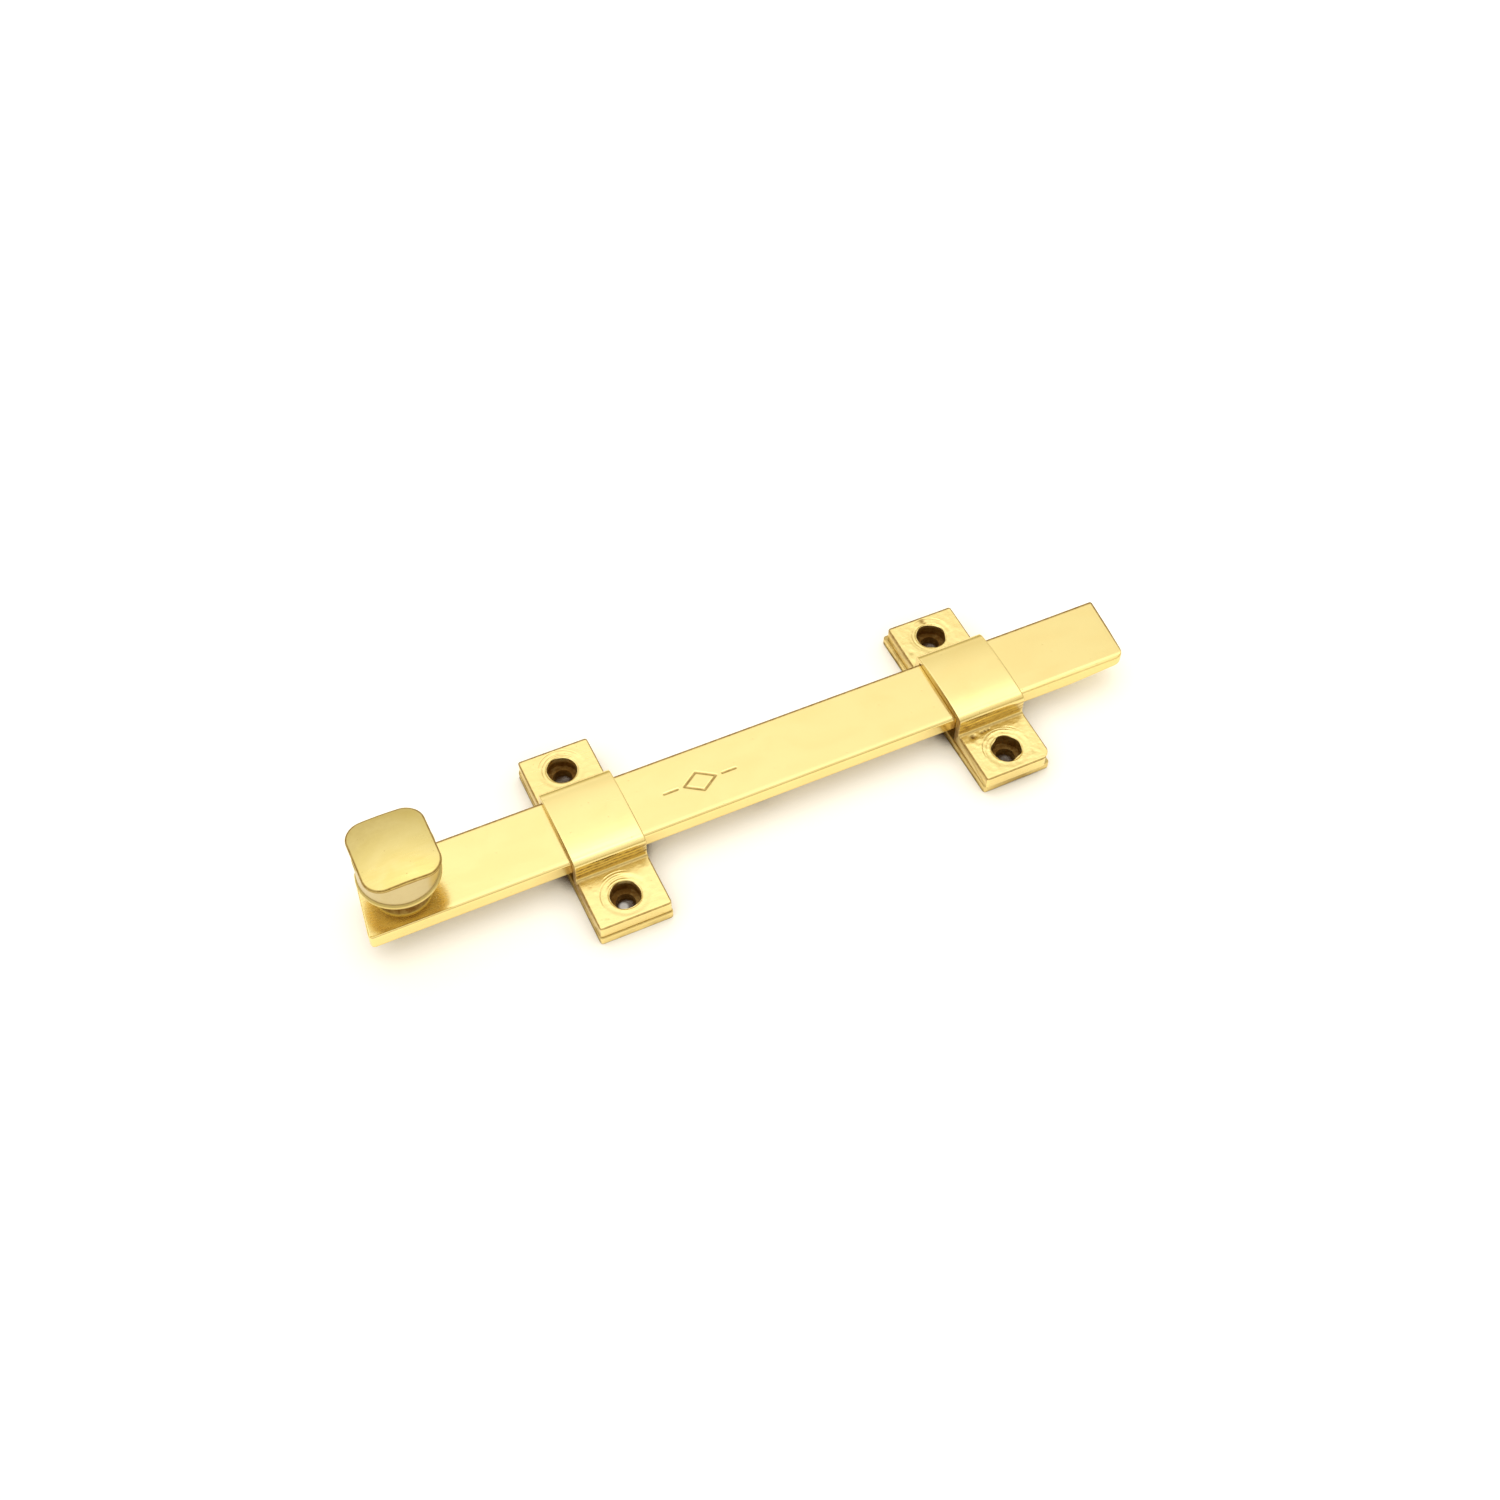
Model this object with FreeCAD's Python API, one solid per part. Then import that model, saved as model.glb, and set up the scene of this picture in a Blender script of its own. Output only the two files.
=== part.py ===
import FreeCAD, Part
import os

# Surface-mounted flat slide bolt in solid brass.
# Frame: +Z points away from the door, z = 0 is the mounting plane under the two guides.
# The origin is the centre of the four screw holes; +X is the way the bolt is thrown.
# All lengths are in millimetres, angles in degrees.

# --- flat bolt bar ---
BAR_WIDTH = 14.3
BAR_THICKNESS = 3.0
BAR_BOTTOM_Z = 4.8
BAR_TIP_X = 68.5            # far corner of the thrown end
BAR_TIP_OUT_OF_SQUARE = 1.0   # near corner sits this much further back
BAR_REAR_X = -81.5          # near corner of the knob end
BAR_REAR_OUT_OF_SQUARE = 1.7  # far corner sits this much further forward
BAR_REAR_CORNER_R = 0.9
BAR_TIP_CORNER_R = 0.4
BAR_WORN_CORNER_R = 2.0     # near corner of the tip, rubbed rounder in use
BAR_BEVEL = 0.35
TIP_TAPER_LENGTH = 12.0
TIP_TAPER_RISE = 1.0

# --- guides: omega strap on a flat base plate ---
GUIDE_PITCH = 76.0
GUIDE_WIDTH = 13.6
GUIDE_SPAN = 39.4
BASE_THICKNESS = 1.7
BASE_OVERHANG = 0.15        # base plate shows this much beyond the strap ears
REAR_BASE_SHIFT = (0.0, -0.15)   # outline of the plate against its screw holes
REAR_BASE_ANGLE = 0.0
FRONT_BASE_SHIFT = (-0.2, 0.5)
FRONT_BASE_ANGLE = 0.6
EAR_THICKNESS = 2.7
STRAP_WALL = 1.4
SIDE_CLEARANCE = 0.10
TOP_CLEARANCE = 0.08
STRAP_OUTER_R = 1.6
STRAP_INNER_R = 0.3
FOOT_FILLET = 0.6
EAR_CORNER_R = 0.6
WORN_CORNER_R = 2.2         # one corner of the front strap is ground rounder

# --- screw holes ---
HOLE_SPACING_Y = 29.5
STRAP_HOLE_D = 5.8
BASE_HOLE_D = 3.6          # the shank of a No. 6 wood screw passes
SPOT_FACE_D = 8.4
SPOT_FACE_DEPTH = 0.3

# --- bow spring in each guide ---
POCKET_LENGTH = 12.0
POCKET_WIDTH = 9.6
POCKET_DEPTH = 0.7
SPRING_THICKNESS = 0.4
SPRING_LENGTH = 11.4
SPRING_WIDTH = 9.0
SPRING_FOOT = 1.0
SPRING_TO_BAR = 0.05

# --- knob ---
KNOB_X = -73.1
CAP_LENGTH = 13.9
CAP_WIDTH = 14.9
CAP_CORNER_R = 3.5
CAP_UNDERSIDE_Z = 19.9
CAP_CROWN_Z = 21.3
CAP_DOME_R = 45.0
DRUM_R = 7.1
BEAD_R = 7.4
BEAD_HEIGHT = 0.9
DRUM_BOTTOM_Z = 13.0
UNDERCUT_R = 6.0
NECK_R = 4.6
NECK_FOOT_R = 5.2

# --- countersunk screw holding the knob from under the bar ---
KNOB_SCREW_D = 4.0
KNOB_SCREW_HEAD_D = 8.0
KNOB_SCREW_TIP_Z = 15.0
SCREW_SLOT_WIDTH = 1.0
SCREW_SLOT_DEPTH = 0.7

# --- stop pin pressed into the underside of the bar ---
THROW_BACK = 22.5
STOP_PIN_D = 3.0
STOP_PIN_GRIP = 2.2
STOP_PIN_FLOOR_GAP = 0.7
STOP_PIN_REST_GAP = 0.3     # left over when the bolt is fully drawn back

BAR_TOP_Z = BAR_BOTTOM_Z + BAR_THICKNESS
EAR_TOP_Z = BASE_THICKNESS + EAR_THICKNESS
CHANNEL_HALF = BAR_WIDTH / 2 + SIDE_CLEARANCE
LEG_OUTER_Y = CHANNEL_HALF + STRAP_WALL
CHANNEL_TOP_Z = BAR_TOP_Z + TOP_CLEARANCE
STRAP_TOP_Z = CHANNEL_TOP_Z + STRAP_WALL
NEAR = -1       # towards -Y
FAR = 1         # towards +Y
REAR = -1       # towards -X
FRONT = 1       # towards +X


def vec(x, y, z):
    return FreeCAD.Vector(x, y, z)


def prism(points, direction):
    """Solid swept from a closed flat polygon along a direction."""
    return Part.Face(Part.makePolygon(points + [points[0]])).extrude(direction)


def centred_box(x, y, z_low, length, width, height):
    corner = vec(x - length / 2, y - width / 2, z_low)
    return Part.makeBox(length, width, height, corner)


def same(a, b):
    return abs(a - b) < 1e-6


def upright_edges(shape, low_z, high_z):
    """Straight vertical edges that run the full height between two levels."""
    found = []
    for edge in shape.Edges:
        box = edge.BoundBox
        is_vertical = box.XLength < 1e-6 and box.YLength < 1e-6
        if is_vertical and same(box.ZMin, low_z) and same(box.ZMax, high_z):
            found.append(edge)
    return found


def lengthwise_edges(shape, y, z):
    """Edges parallel to X at one height and one distance either side of the centre."""
    found = []
    for edge in shape.Edges:
        box = edge.BoundBox
        is_lengthwise = box.YLength < 1e-6 and box.ZLength < 1e-6
        if is_lengthwise and same(abs(box.YMin), y) and same(box.ZMin, z):
            found.append(edge)
    return found


def edges_in_plane_z(shape, z):
    return [e for e in shape.Edges if same(e.BoundBox.ZMin, z) and same(e.BoundBox.ZMax, z)]


def ear_corner_edges(strap, guide_x, side, end):
    """The upright edge at one corner of a strap's ears."""
    x = guide_x + end * GUIDE_WIDTH / 2
    y = side * GUIDE_SPAN / 2
    uprights = upright_edges(strap, BASE_THICKNESS, EAR_TOP_Z)
    return [e for e in uprights if same(e.BoundBox.XMin, x) and same(e.BoundBox.YMin, y)]


def screw_hole_centres(guide_x):
    return [vec(guide_x, side * HOLE_SPACING_Y / 2, 0) for side in (NEAR, FAR)]


def make_strap(guide_x, worn_corner_r):
    """Omega strap: two flat ears joined by a bridge over the bar."""
    half_span = GUIDE_SPAN / 2
    outline = [(-half_span, BASE_THICKNESS), (-half_span, EAR_TOP_Z), (-LEG_OUTER_Y, EAR_TOP_Z),
               (-LEG_OUTER_Y, STRAP_TOP_Z), (LEG_OUTER_Y, STRAP_TOP_Z), (LEG_OUTER_Y, EAR_TOP_Z),
               (half_span, EAR_TOP_Z), (half_span, BASE_THICKNESS), (CHANNEL_HALF, BASE_THICKNESS),
               (CHANNEL_HALF, CHANNEL_TOP_Z), (-CHANNEL_HALF, CHANNEL_TOP_Z),
               (-CHANNEL_HALF, BASE_THICKNESS)]
    start_x = guide_x - GUIDE_WIDTH / 2
    strap = prism([vec(start_x, y, z) for y, z in outline], vec(GUIDE_WIDTH, 0, 0))
    strap = strap.makeFillet(STRAP_OUTER_R, lengthwise_edges(strap, LEG_OUTER_Y, STRAP_TOP_Z))
    strap = strap.makeFillet(STRAP_INNER_R, lengthwise_edges(strap, CHANNEL_HALF, CHANNEL_TOP_Z))
    strap = strap.makeFillet(FOOT_FILLET, lengthwise_edges(strap, LEG_OUTER_Y, EAR_TOP_Z))
    strap = strap.makeFillet(worn_corner_r, ear_corner_edges(strap, guide_x, NEAR, FRONT))
    for side, end in ((NEAR, REAR), (FAR, REAR), (FAR, FRONT)):
        strap = strap.makeFillet(EAR_CORNER_R, ear_corner_edges(strap, guide_x, side, end))
    for centre in screw_hole_centres(guide_x):
        strap = strap.cut(Part.makeCylinder(STRAP_HOLE_D / 2, STRAP_TOP_Z, centre))
        spot_z = vec(0, 0, EAR_TOP_Z - SPOT_FACE_DEPTH)
        strap = strap.cut(Part.makeCylinder(SPOT_FACE_D / 2, EAR_THICKNESS, centre + spot_z))
    return strap


def make_base_plate(guide_x, shift, angle):
    """Flat plate under the strap, with a shallow pocket for the bow spring."""
    length = GUIDE_WIDTH + 2 * BASE_OVERHANG
    width = GUIDE_SPAN + 2 * BASE_OVERHANG
    plate = centred_box(guide_x + shift[0], shift[1], 0, length, width, BASE_THICKNESS)
    plate = plate.makeFillet(EAR_CORNER_R, upright_edges(plate, 0, BASE_THICKNESS))
    plate.rotate(vec(guide_x, 0, 0), vec(0, 0, 1), angle)
    for centre in screw_hole_centres(guide_x):
        plate = plate.cut(Part.makeCylinder(BASE_HOLE_D / 2, BASE_THICKNESS, centre))
    pocket_floor = BASE_THICKNESS - POCKET_DEPTH
    pocket = centred_box(guide_x, 0, pocket_floor, POCKET_LENGTH, POCKET_WIDTH, BASE_THICKNESS)
    return plate.cut(pocket)


def make_bow_spring(guide_x):
    """Bowed leaf spring that stands in the pocket and lifts the bar against the strap."""
    floor = BASE_THICKNESS - POCKET_DEPTH
    crest = BAR_BOTTOM_Z - SPRING_TO_BAR
    half = SPRING_LENGTH / 2
    foot = half - SPRING_FOOT
    y = -SPRING_WIDTH / 2
    upper_foot = foot + SPRING_THICKNESS / 2
    skin = floor + SPRING_THICKNESS

    def at(x, z):
        return vec(guide_x + x, y, z)

    upper_bow = Part.Arc(at(-upper_foot, skin), at(0, crest), at(upper_foot, skin)).toShape()
    lower_bow = Part.Arc(at(foot, floor), at(0, crest - SPRING_THICKNESS), at(-foot, floor)).toShape()
    edges = [upper_bow, Part.makeLine(at(upper_foot, skin), at(half, skin)),
             Part.makeLine(at(half, skin), at(half, floor)), Part.makeLine(at(half, floor), at(foot, floor)),
             lower_bow, Part.makeLine(at(-foot, floor), at(-half, floor)),
             Part.makeLine(at(-half, floor), at(-half, skin)),
             Part.makeLine(at(-half, skin), at(-upper_foot, skin))]
    return Part.Face(Part.Wire(edges)).extrude(vec(0, SPRING_WIDTH, 0))


def make_knob_screw():
    """Slotted countersunk screw whose head lies flush in the underside of the bar."""
    head_r = KNOB_SCREW_HEAD_D / 2
    shank_r = KNOB_SCREW_D / 2
    head_depth = head_r - shank_r
    base = vec(KNOB_X, 0, BAR_BOTTOM_Z)
    head = Part.makeCone(head_r, shank_r, head_depth, base)
    shank = Part.makeCylinder(shank_r, KNOB_SCREW_TIP_Z - BAR_BOTTOM_Z, base)
    return head.fuse(shank).removeSplitter()


def make_screw_slot():
    return centred_box(KNOB_X, 0, BAR_BOTTOM_Z, KNOB_SCREW_HEAD_D, SCREW_SLOT_WIDTH, SCREW_SLOT_DEPTH)


def make_stop_pin():
    x = -GUIDE_PITCH / 2 + GUIDE_WIDTH / 2 + BASE_OVERHANG + STOP_PIN_REST_GAP + THROW_BACK + STOP_PIN_D / 2
    length = BAR_BOTTOM_Z + STOP_PIN_GRIP - STOP_PIN_FLOOR_GAP
    return Part.makeCylinder(STOP_PIN_D / 2, length, vec(x, 0, STOP_PIN_FLOOR_GAP))


def bar_corner_edges(bar, end, side):
    """The upright edge at one corner of the bar that is still sharp."""
    corners = upright_edges(bar, BAR_BOTTOM_Z, BAR_TOP_Z)
    half = BAR_WIDTH / 2
    at_side = [e for e in corners if same(e.BoundBox.YMin, side * half)]
    return [max(at_side, key=lambda e: end * e.BoundBox.XMin)]


def make_bar(screw, stop_pin):
    """Flat bar with hand-cut ends, bevelled top edges and a thinned tip."""
    half = BAR_WIDTH / 2
    outline = [(BAR_REAR_X, -half), (BAR_TIP_X - BAR_TIP_OUT_OF_SQUARE, -half), (BAR_TIP_X, half),
               (BAR_REAR_X + BAR_REAR_OUT_OF_SQUARE, half)]
    bar = prism([vec(x, y, BAR_BOTTOM_Z) for x, y in outline], vec(0, 0, BAR_THICKNESS))
    for end, side, radius in ((REAR, NEAR, BAR_REAR_CORNER_R), (REAR, FAR, BAR_REAR_CORNER_R),
                              (FRONT, FAR, BAR_TIP_CORNER_R), (FRONT, NEAR, BAR_WORN_CORNER_R)):
        bar = bar.makeFillet(radius, bar_corner_edges(bar, end, side))
    bar = bar.makeChamfer(BAR_BEVEL, edges_in_plane_z(bar, BAR_TOP_Z))
    taper_start = BAR_TIP_X - TIP_TAPER_LENGTH
    wedge = [(taper_start, BAR_BOTTOM_Z), (BAR_TIP_X, BAR_BOTTOM_Z + TIP_TAPER_RISE),
             (BAR_TIP_X, BAR_BOTTOM_Z)]
    bar = bar.cut(prism([vec(x, -half, z) for x, z in wedge], vec(0, BAR_WIDTH, 0)))
    return bar.cut(screw).cut(stop_pin)


def make_knob(screw):
    """Turned neck and drum under a slightly domed square cap with round corners."""
    bead_top = DRUM_BOTTOM_Z + BEAD_HEIGHT
    neck_mid_z = (BAR_TOP_Z + DRUM_BOTTOM_Z) / 2

    def at(r, z):
        return vec(KNOB_X + r, 0, z)

    profile = [Part.makeLine(at(0, BAR_TOP_Z), at(NECK_FOOT_R, BAR_TOP_Z)),
               Part.Arc(at(NECK_FOOT_R, BAR_TOP_Z), at(NECK_R, neck_mid_z),
                        at(UNDERCUT_R, DRUM_BOTTOM_Z)).toShape(),
               Part.makeLine(at(UNDERCUT_R, DRUM_BOTTOM_Z), at(DRUM_R, DRUM_BOTTOM_Z)),
               Part.Arc(at(DRUM_R, DRUM_BOTTOM_Z), at(BEAD_R, DRUM_BOTTOM_Z + BEAD_HEIGHT / 2),
                        at(DRUM_R, bead_top)).toShape(),
               Part.makeLine(at(DRUM_R, bead_top), at(DRUM_R, CAP_UNDERSIDE_Z)),
               Part.makeLine(at(DRUM_R, CAP_UNDERSIDE_Z), at(0, CAP_UNDERSIDE_Z)),
               Part.makeLine(at(0, CAP_UNDERSIDE_Z), at(0, BAR_TOP_Z))]
    turned = Part.Face(Part.Wire(profile)).revolve(vec(KNOB_X, 0, 0), vec(0, 0, 1), 360)
    cap_height = CAP_CROWN_Z - CAP_UNDERSIDE_Z
    cap = centred_box(KNOB_X, 0, CAP_UNDERSIDE_Z, CAP_LENGTH, CAP_WIDTH, cap_height)
    cap = cap.makeFillet(CAP_CORNER_R, upright_edges(cap, CAP_UNDERSIDE_Z, CAP_CROWN_Z))
    cap = cap.common(Part.makeSphere(CAP_DOME_R, vec(KNOB_X, 0, CAP_CROWN_Z - CAP_DOME_R)))
    return turned.fuse(cap).removeSplitter().cut(screw)


def main():
    os.makedirs("parts", exist_ok=True)
    rear_x = -GUIDE_PITCH / 2
    front_x = GUIDE_PITCH / 2
    screw = make_knob_screw()
    stop_pin = make_stop_pin()
    nodes = {
        "bolt_bar": make_bar(screw, stop_pin),
        "knob": make_knob(screw),
        "knob_screw": screw.cut(make_screw_slot()),
        "stop_pin": stop_pin,
        "rear_guide_strap": make_strap(rear_x, EAR_CORNER_R),
        "front_guide_strap": make_strap(front_x, WORN_CORNER_R),
        "rear_base_plate": make_base_plate(rear_x, REAR_BASE_SHIFT, REAR_BASE_ANGLE),
        "front_base_plate": make_base_plate(front_x, FRONT_BASE_SHIFT, FRONT_BASE_ANGLE),
        "rear_bow_spring": make_bow_spring(rear_x),
        "front_bow_spring": make_bow_spring(front_x),
    }
    for name, shape in nodes.items():
        shape.exportStep("parts/" + name + ".step")


main()
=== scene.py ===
import math

import bmesh
import bpy
from mathutils import Matrix, Vector, noise


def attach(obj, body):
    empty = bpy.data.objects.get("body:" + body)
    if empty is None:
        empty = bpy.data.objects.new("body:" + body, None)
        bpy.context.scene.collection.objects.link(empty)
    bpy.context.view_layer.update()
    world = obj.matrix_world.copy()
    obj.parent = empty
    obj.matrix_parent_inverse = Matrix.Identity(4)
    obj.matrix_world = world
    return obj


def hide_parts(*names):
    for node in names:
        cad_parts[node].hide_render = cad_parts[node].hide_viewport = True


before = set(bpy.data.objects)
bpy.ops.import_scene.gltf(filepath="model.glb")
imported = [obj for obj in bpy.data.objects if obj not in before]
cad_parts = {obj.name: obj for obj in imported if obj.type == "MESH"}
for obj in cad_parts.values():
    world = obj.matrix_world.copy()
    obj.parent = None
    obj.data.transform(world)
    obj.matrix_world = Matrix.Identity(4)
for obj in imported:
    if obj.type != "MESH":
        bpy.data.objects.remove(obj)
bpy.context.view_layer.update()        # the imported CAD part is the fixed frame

# Flat slide bolt in solid brass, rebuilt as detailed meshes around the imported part.
# Lengths are in millimetres unless a name ends in _M; MM turns them into metres.

MM = 0.001

# --- camera, at the photograph's angle ---
CAMERA_AZIMUTH = -25.945
CAMERA_ELEVATION = 53.498
CAMERA_ROLL = 1.040
CAMERA_DISTANCE = 371.955
CAMERA_TARGET = Vector((-3.644, 7.394, 0.0))
CAMERA_LENS = 48.0
CAMERA_SENSOR = 36.0

# --- sizes shared with the CAD part ---
BAR_BOTTOM_Z = 4.8
BAR_TOP_Z = 7.8
BAR_HALF_WIDTH = 7.15
BAR_REAR_X = -81.5
BAR_REAR_OUT_OF_SQUARE = 1.7
BAR_TIP_X = 68.5
BAR_TIP_OUT_OF_SQUARE = 1.0
BAR_REAR_CORNER_R = 0.9
BAR_TIP_CORNER_R = 0.4
BAR_WORN_CORNER_R = 2.0
TIP_TAPER_LENGTH = 12.0
TIP_TAPER_RISE = 1.0

GUIDE_X = {"rear": -38.0, "front": 38.0}
GUIDE_HALF_WIDTH = 6.8
GUIDE_HALF_SPAN = 19.7
PLATE_TOP_Z = 1.7
PLATE_OVERHANG = 0.15
EAR_TOP_Z = 4.4
CHANNEL_HALF = 7.25
CHANNEL_TOP_Z = 7.88
LEG_OUTER_Y = 8.65
STRAP_TOP_Z = 9.28
STRAP_OUTER_R = 1.6
FOOT_FILLET = 0.6
HOLE_Y = 14.75
STRAP_HOLE_R = 2.9
PLATE_HOLE_R = 1.8
SPOT_FACE_R = 4.2
NEAR = -1       # towards -Y
FAR = 1         # towards +Y
REAR = -1       # towards -X
FRONT = 1       # towards +X

KNOB_X = -73.1
CAP_HALF_X = 6.95
CAP_HALF_Y = 7.45
CAP_CORNER_R = 3.5
CAP_UNDERSIDE_Z = 19.9
CAP_CROWN_Z = 21.3
CAP_DOME_R = 45.0
DRUM_R = 7.1
BEAD_R = 7.4
BEAD_HEIGHT = 0.9
DRUM_BOTTOM_Z = 13.0
UNDERCUT_R = 6.0
NECK_R = 4.6
NECK_FOOT_R = 5.2


def smooth(low, high, value):
    """0 below low, 1 above high, and a smooth rise between."""
    t = min(1.0, max(0.0, (value - low) / (high - low)))
    return t * t * (3 - 2 * t)


def spaced(start, end, steps):
    return [start + (end - start) * i / steps for i in range(steps + 1)]


def arc(centre, radius, start, end, steps):
    """Points on an arc in a plane, angles in degrees, both ends included."""
    points = []
    for degrees in spaced(start, end, steps):
        angle = math.radians(degrees)
        points.append((centre[0] + radius * math.cos(angle), centre[1] + radius * math.sin(angle)))
    return points


def straight(start, end, steps):
    ys = spaced(start[0], end[0], steps)
    zs = spaced(start[1], end[1], steps)
    return list(zip(ys, zs))


def inward_normals(loop):
    """Unit normals that point into a closed flat loop of points."""
    area = 0.0
    for (ax, ay), (bx, by) in zip(loop, loop[1:] + loop[:1]):
        area += ax * by - bx * ay
    turn = 1 if area > 0 else -1
    normals = []
    for i in range(len(loop)):
        ax, ay = loop[i - 1]
        bx, by = loop[(i + 1) % len(loop)]
        length = math.hypot(bx - ax, by - ay) or 1.0
        normals.append((-turn * (by - ay) / length, turn * (bx - ax) / length))
    return normals


def inset(loop, normals, depth):
    return [(y + n[0] * depth, z + n[1] * depth) for (y, z), n in zip(loop, normals)]


def rounding_rows(radius, steps):
    """Rows of an edge rounding: how far out along X, and how far in across the section."""
    rows = []
    for i in range(1, steps + 1):
        angle = math.pi / 2 * i / steps
        rows.append((radius * math.sin(angle), radius * (1 - math.cos(angle))))
    return rows


def soft_noise(point, size, seed=0.0):
    """Smooth noise from -1 to 1 whose lumps are about that many millimetres across."""
    return noise.noise(Vector(point) / size + Vector((seed, seed * 0.7, -seed)))


class Shell:
    """Collects the vertices and faces of one piece, in millimetres."""

    def __init__(self):
        self.points = []
        self.faces = []

    def add(self, x, y, z):
        self.points.append([x, y, z])
        return len(self.points) - 1

    def add_section(self, x, section):
        return [self.add(x, y, z) for y, z in section]

    def quad(self, a, b, c, d):
        corners = []
        for corner in (a, b, c, d):
            if corner not in corners:
                corners.append(corner)
        if len(corners) > 2:
            self.faces.append(corners)

    def bridge(self, ring, other):
        """Faces between two closed rings with the same number of points."""
        for i in range(len(ring)):
            j = (i + 1) % len(ring)
            self.quad(ring[i], ring[j], other[j], other[i])

    def rings_between(self, ring, target, count, last=None):
        """Rings from a closed ring to target points. The final ring is last, where it is given."""
        previous = ring
        start = [Vector(self.points[i]) for i in ring]
        for step in range(1, count + 1):
            share = step / count
            if step == count and last:
                moved = last
            else:
                moved = [self.add(*s.lerp(Vector(t), share)) for s, t in zip(start, target)]
            self.bridge(previous, moved)
            previous = moved
        return previous

    def close(self, ring):
        self.faces.append(list(ring))

    def round_end(self, ring, section, x, end, radius):
        """Rounds the edge of a swept section's end, from its last ring at x, and closes it."""
        normals = inward_normals(section)
        previous = ring
        for out, depth in rounding_rows(radius, EDGE_ROWS):
            rounded = self.add_section(x + end * out, inset(section, normals, depth))
            self.bridge(previous, rounded)
            previous = rounded
        self.close(previous)

    def move(self, x, y, z):
        for point in self.points:
            point[0] += x
            point[1] += y
            point[2] += z


# edges that turn more than this many degrees are shaded sharp
SHARP_ANGLE = 38.0


def nowhere(x, y, z):
    """Amount of an attribute that a piece does without."""
    return 0.0


def build_object(name, shell, patina_and_shade, satin, pale=nowhere):
    """Mesh object in metres, with attributes for where the metal is darkened by patina and painted
    shade, rough, or painted pale as a reflection.
    """
    mesh = bpy.data.meshes.new(name)
    mesh.from_pydata([[c * MM for c in p] for p in shell.points], [], shell.faces)
    shape = bmesh.new()
    shape.from_mesh(mesh)
    bmesh.ops.recalc_face_normals(shape, faces=shape.faces)
    shape.to_mesh(mesh)
    shape.free()
    for label, amount in (("patina_and_shade", patina_and_shade), ("satin", satin), ("pale", pale)):
        attribute = mesh.attributes.new(label, "FLOAT", "POINT")
        attribute.data.foreach_set("value", [amount(*p) for p in shell.points])
    mesh.polygons.foreach_set("use_smooth", [True] * len(mesh.polygons))
    mesh.set_sharp_from_angle(angle=math.radians(SHARP_ANGLE))
    piece = bpy.data.objects.new(name, mesh)
    bpy.context.scene.collection.objects.link(piece)
    return piece


# --- pieces swept across a guide, with a ring-patterned face around each screw hole ---

EAR_STEPS = 44
STATION_STEPS = 64
HOLE_RINGS = 34
WALL_ROWS = 12
EDGE_ROWS = 5

STRAP_EDGE_R = 0.22
EAR_EDGE_R = 0.35
EAR_FOOT_R = 0.25
CEILING_R = 0.3
EAR_CORNER_R = 0.6
WORN_CORNER_R = 2.2
RIM_WIDTH = 0.28
RIM_DROP = 0.16
STRAP_CROWN = 0.36
CAST_LUMP = 1.1
CAST_GRAIN = 0.45
WALL_WAVE = 0.04

# dents in the cast ears: x from the guide's middle, y, radius, depth
EAR_DENTS = {
    ("rear", FAR): [(0.6, 18.6, 0.28, 0.04)],
    ("rear", NEAR): [(-4.9, -17.9, 0.35, 0.03)],
    ("front", FAR): [(0.2, 18.7, 0.45, 0.20), (0.5, 18.1, 0.30, 0.16), (-5.4, 12.4, 0.45, 0.08)],
    ("front", NEAR): [(-4.4, -9.9, 0.50, 0.38), (-2.4, -9.75, 0.32, 0.22), (-1.7, -9.65, 0.32, 0.24),
                      (-1.0, -9.6, 0.30, 0.20), (4.2, -17.2, 0.6, 0.04)],
}
EAR_ROUGHNESS = {("rear", FAR): 0.018, ("rear", NEAR): 0.016, ("front", FAR): 0.028,
                 ("front", NEAR): 0.032}
# how far down its wall each screw hole is painted dark, as patina and painted shade, and how ragged
# its outline is
HOLE_PATINA_AND_SHADE_FROM = {("rear", FAR): 1.0, ("rear", NEAR): 0.7, ("front", FAR): 0.4, ("front", NEAR): 0.1}
HOLE_WOBBLE = {("rear", FAR): 0.06, ("rear", NEAR): 0.08, ("front", FAR): 0.10, ("front", NEAR): 0.16}
# turning marks round the holes: radius, first and last angle in degrees, depth
EAR_RINGS = {
    ("rear", FAR): [(4.3, 20, 160, 0.05), (3.6, 60, 200, 0.05), (3.3, 20, 120, 0.05)],
    ("rear", NEAR): [(4.35, 70, 200, 0.05), (3.5, 50, 150, 0.06), (4.9, 60, 130, 0.04)],
    ("front", FAR): [(4.2, 20, 120, 0.05), (3.6, 120, 230, 0.04)],
    ("front", NEAR): [(4.4, 40, 190, 0.07), (3.7, 100, 170, 0.04), (4.9, 20, 80, 0.03)],
}
# painted dark reflection bands along a strap's legs: height and half width
LEG_REFLECTION_BANDS = ((7.30, 0.26), (6.45, 0.20), (5.60, 0.30))
LEG_BAND_REFLECTION = {"rear": 0.95, "front": 0.7}
# how dark each feature of a strap is; the faces across the bar and the ear outlines are painted
# shade, the leg streaks painted reflection
RING_PATINA = 0.5
FOOT_LINE_PATINA = 0.5
SEAM_PATINA = 0.4
CHANNEL_PATINA = 0.6
FACE_PAINTED_SHADE = {REAR: 0.85, FRONT: 0.4}
LEG_STREAK_REFLECTION = 0.8
EAR_OUTLINE_SHADE = 0.8
FAR_OUTLINE_SHADE = 0.95
# depth of the painted shade line under an ear's top edge
EAR_SHADE_LINE_DROP = {NEAR: 0.26, FAR: 0.04}
SPOT_FACE_DEPTH = 0.07

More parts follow.
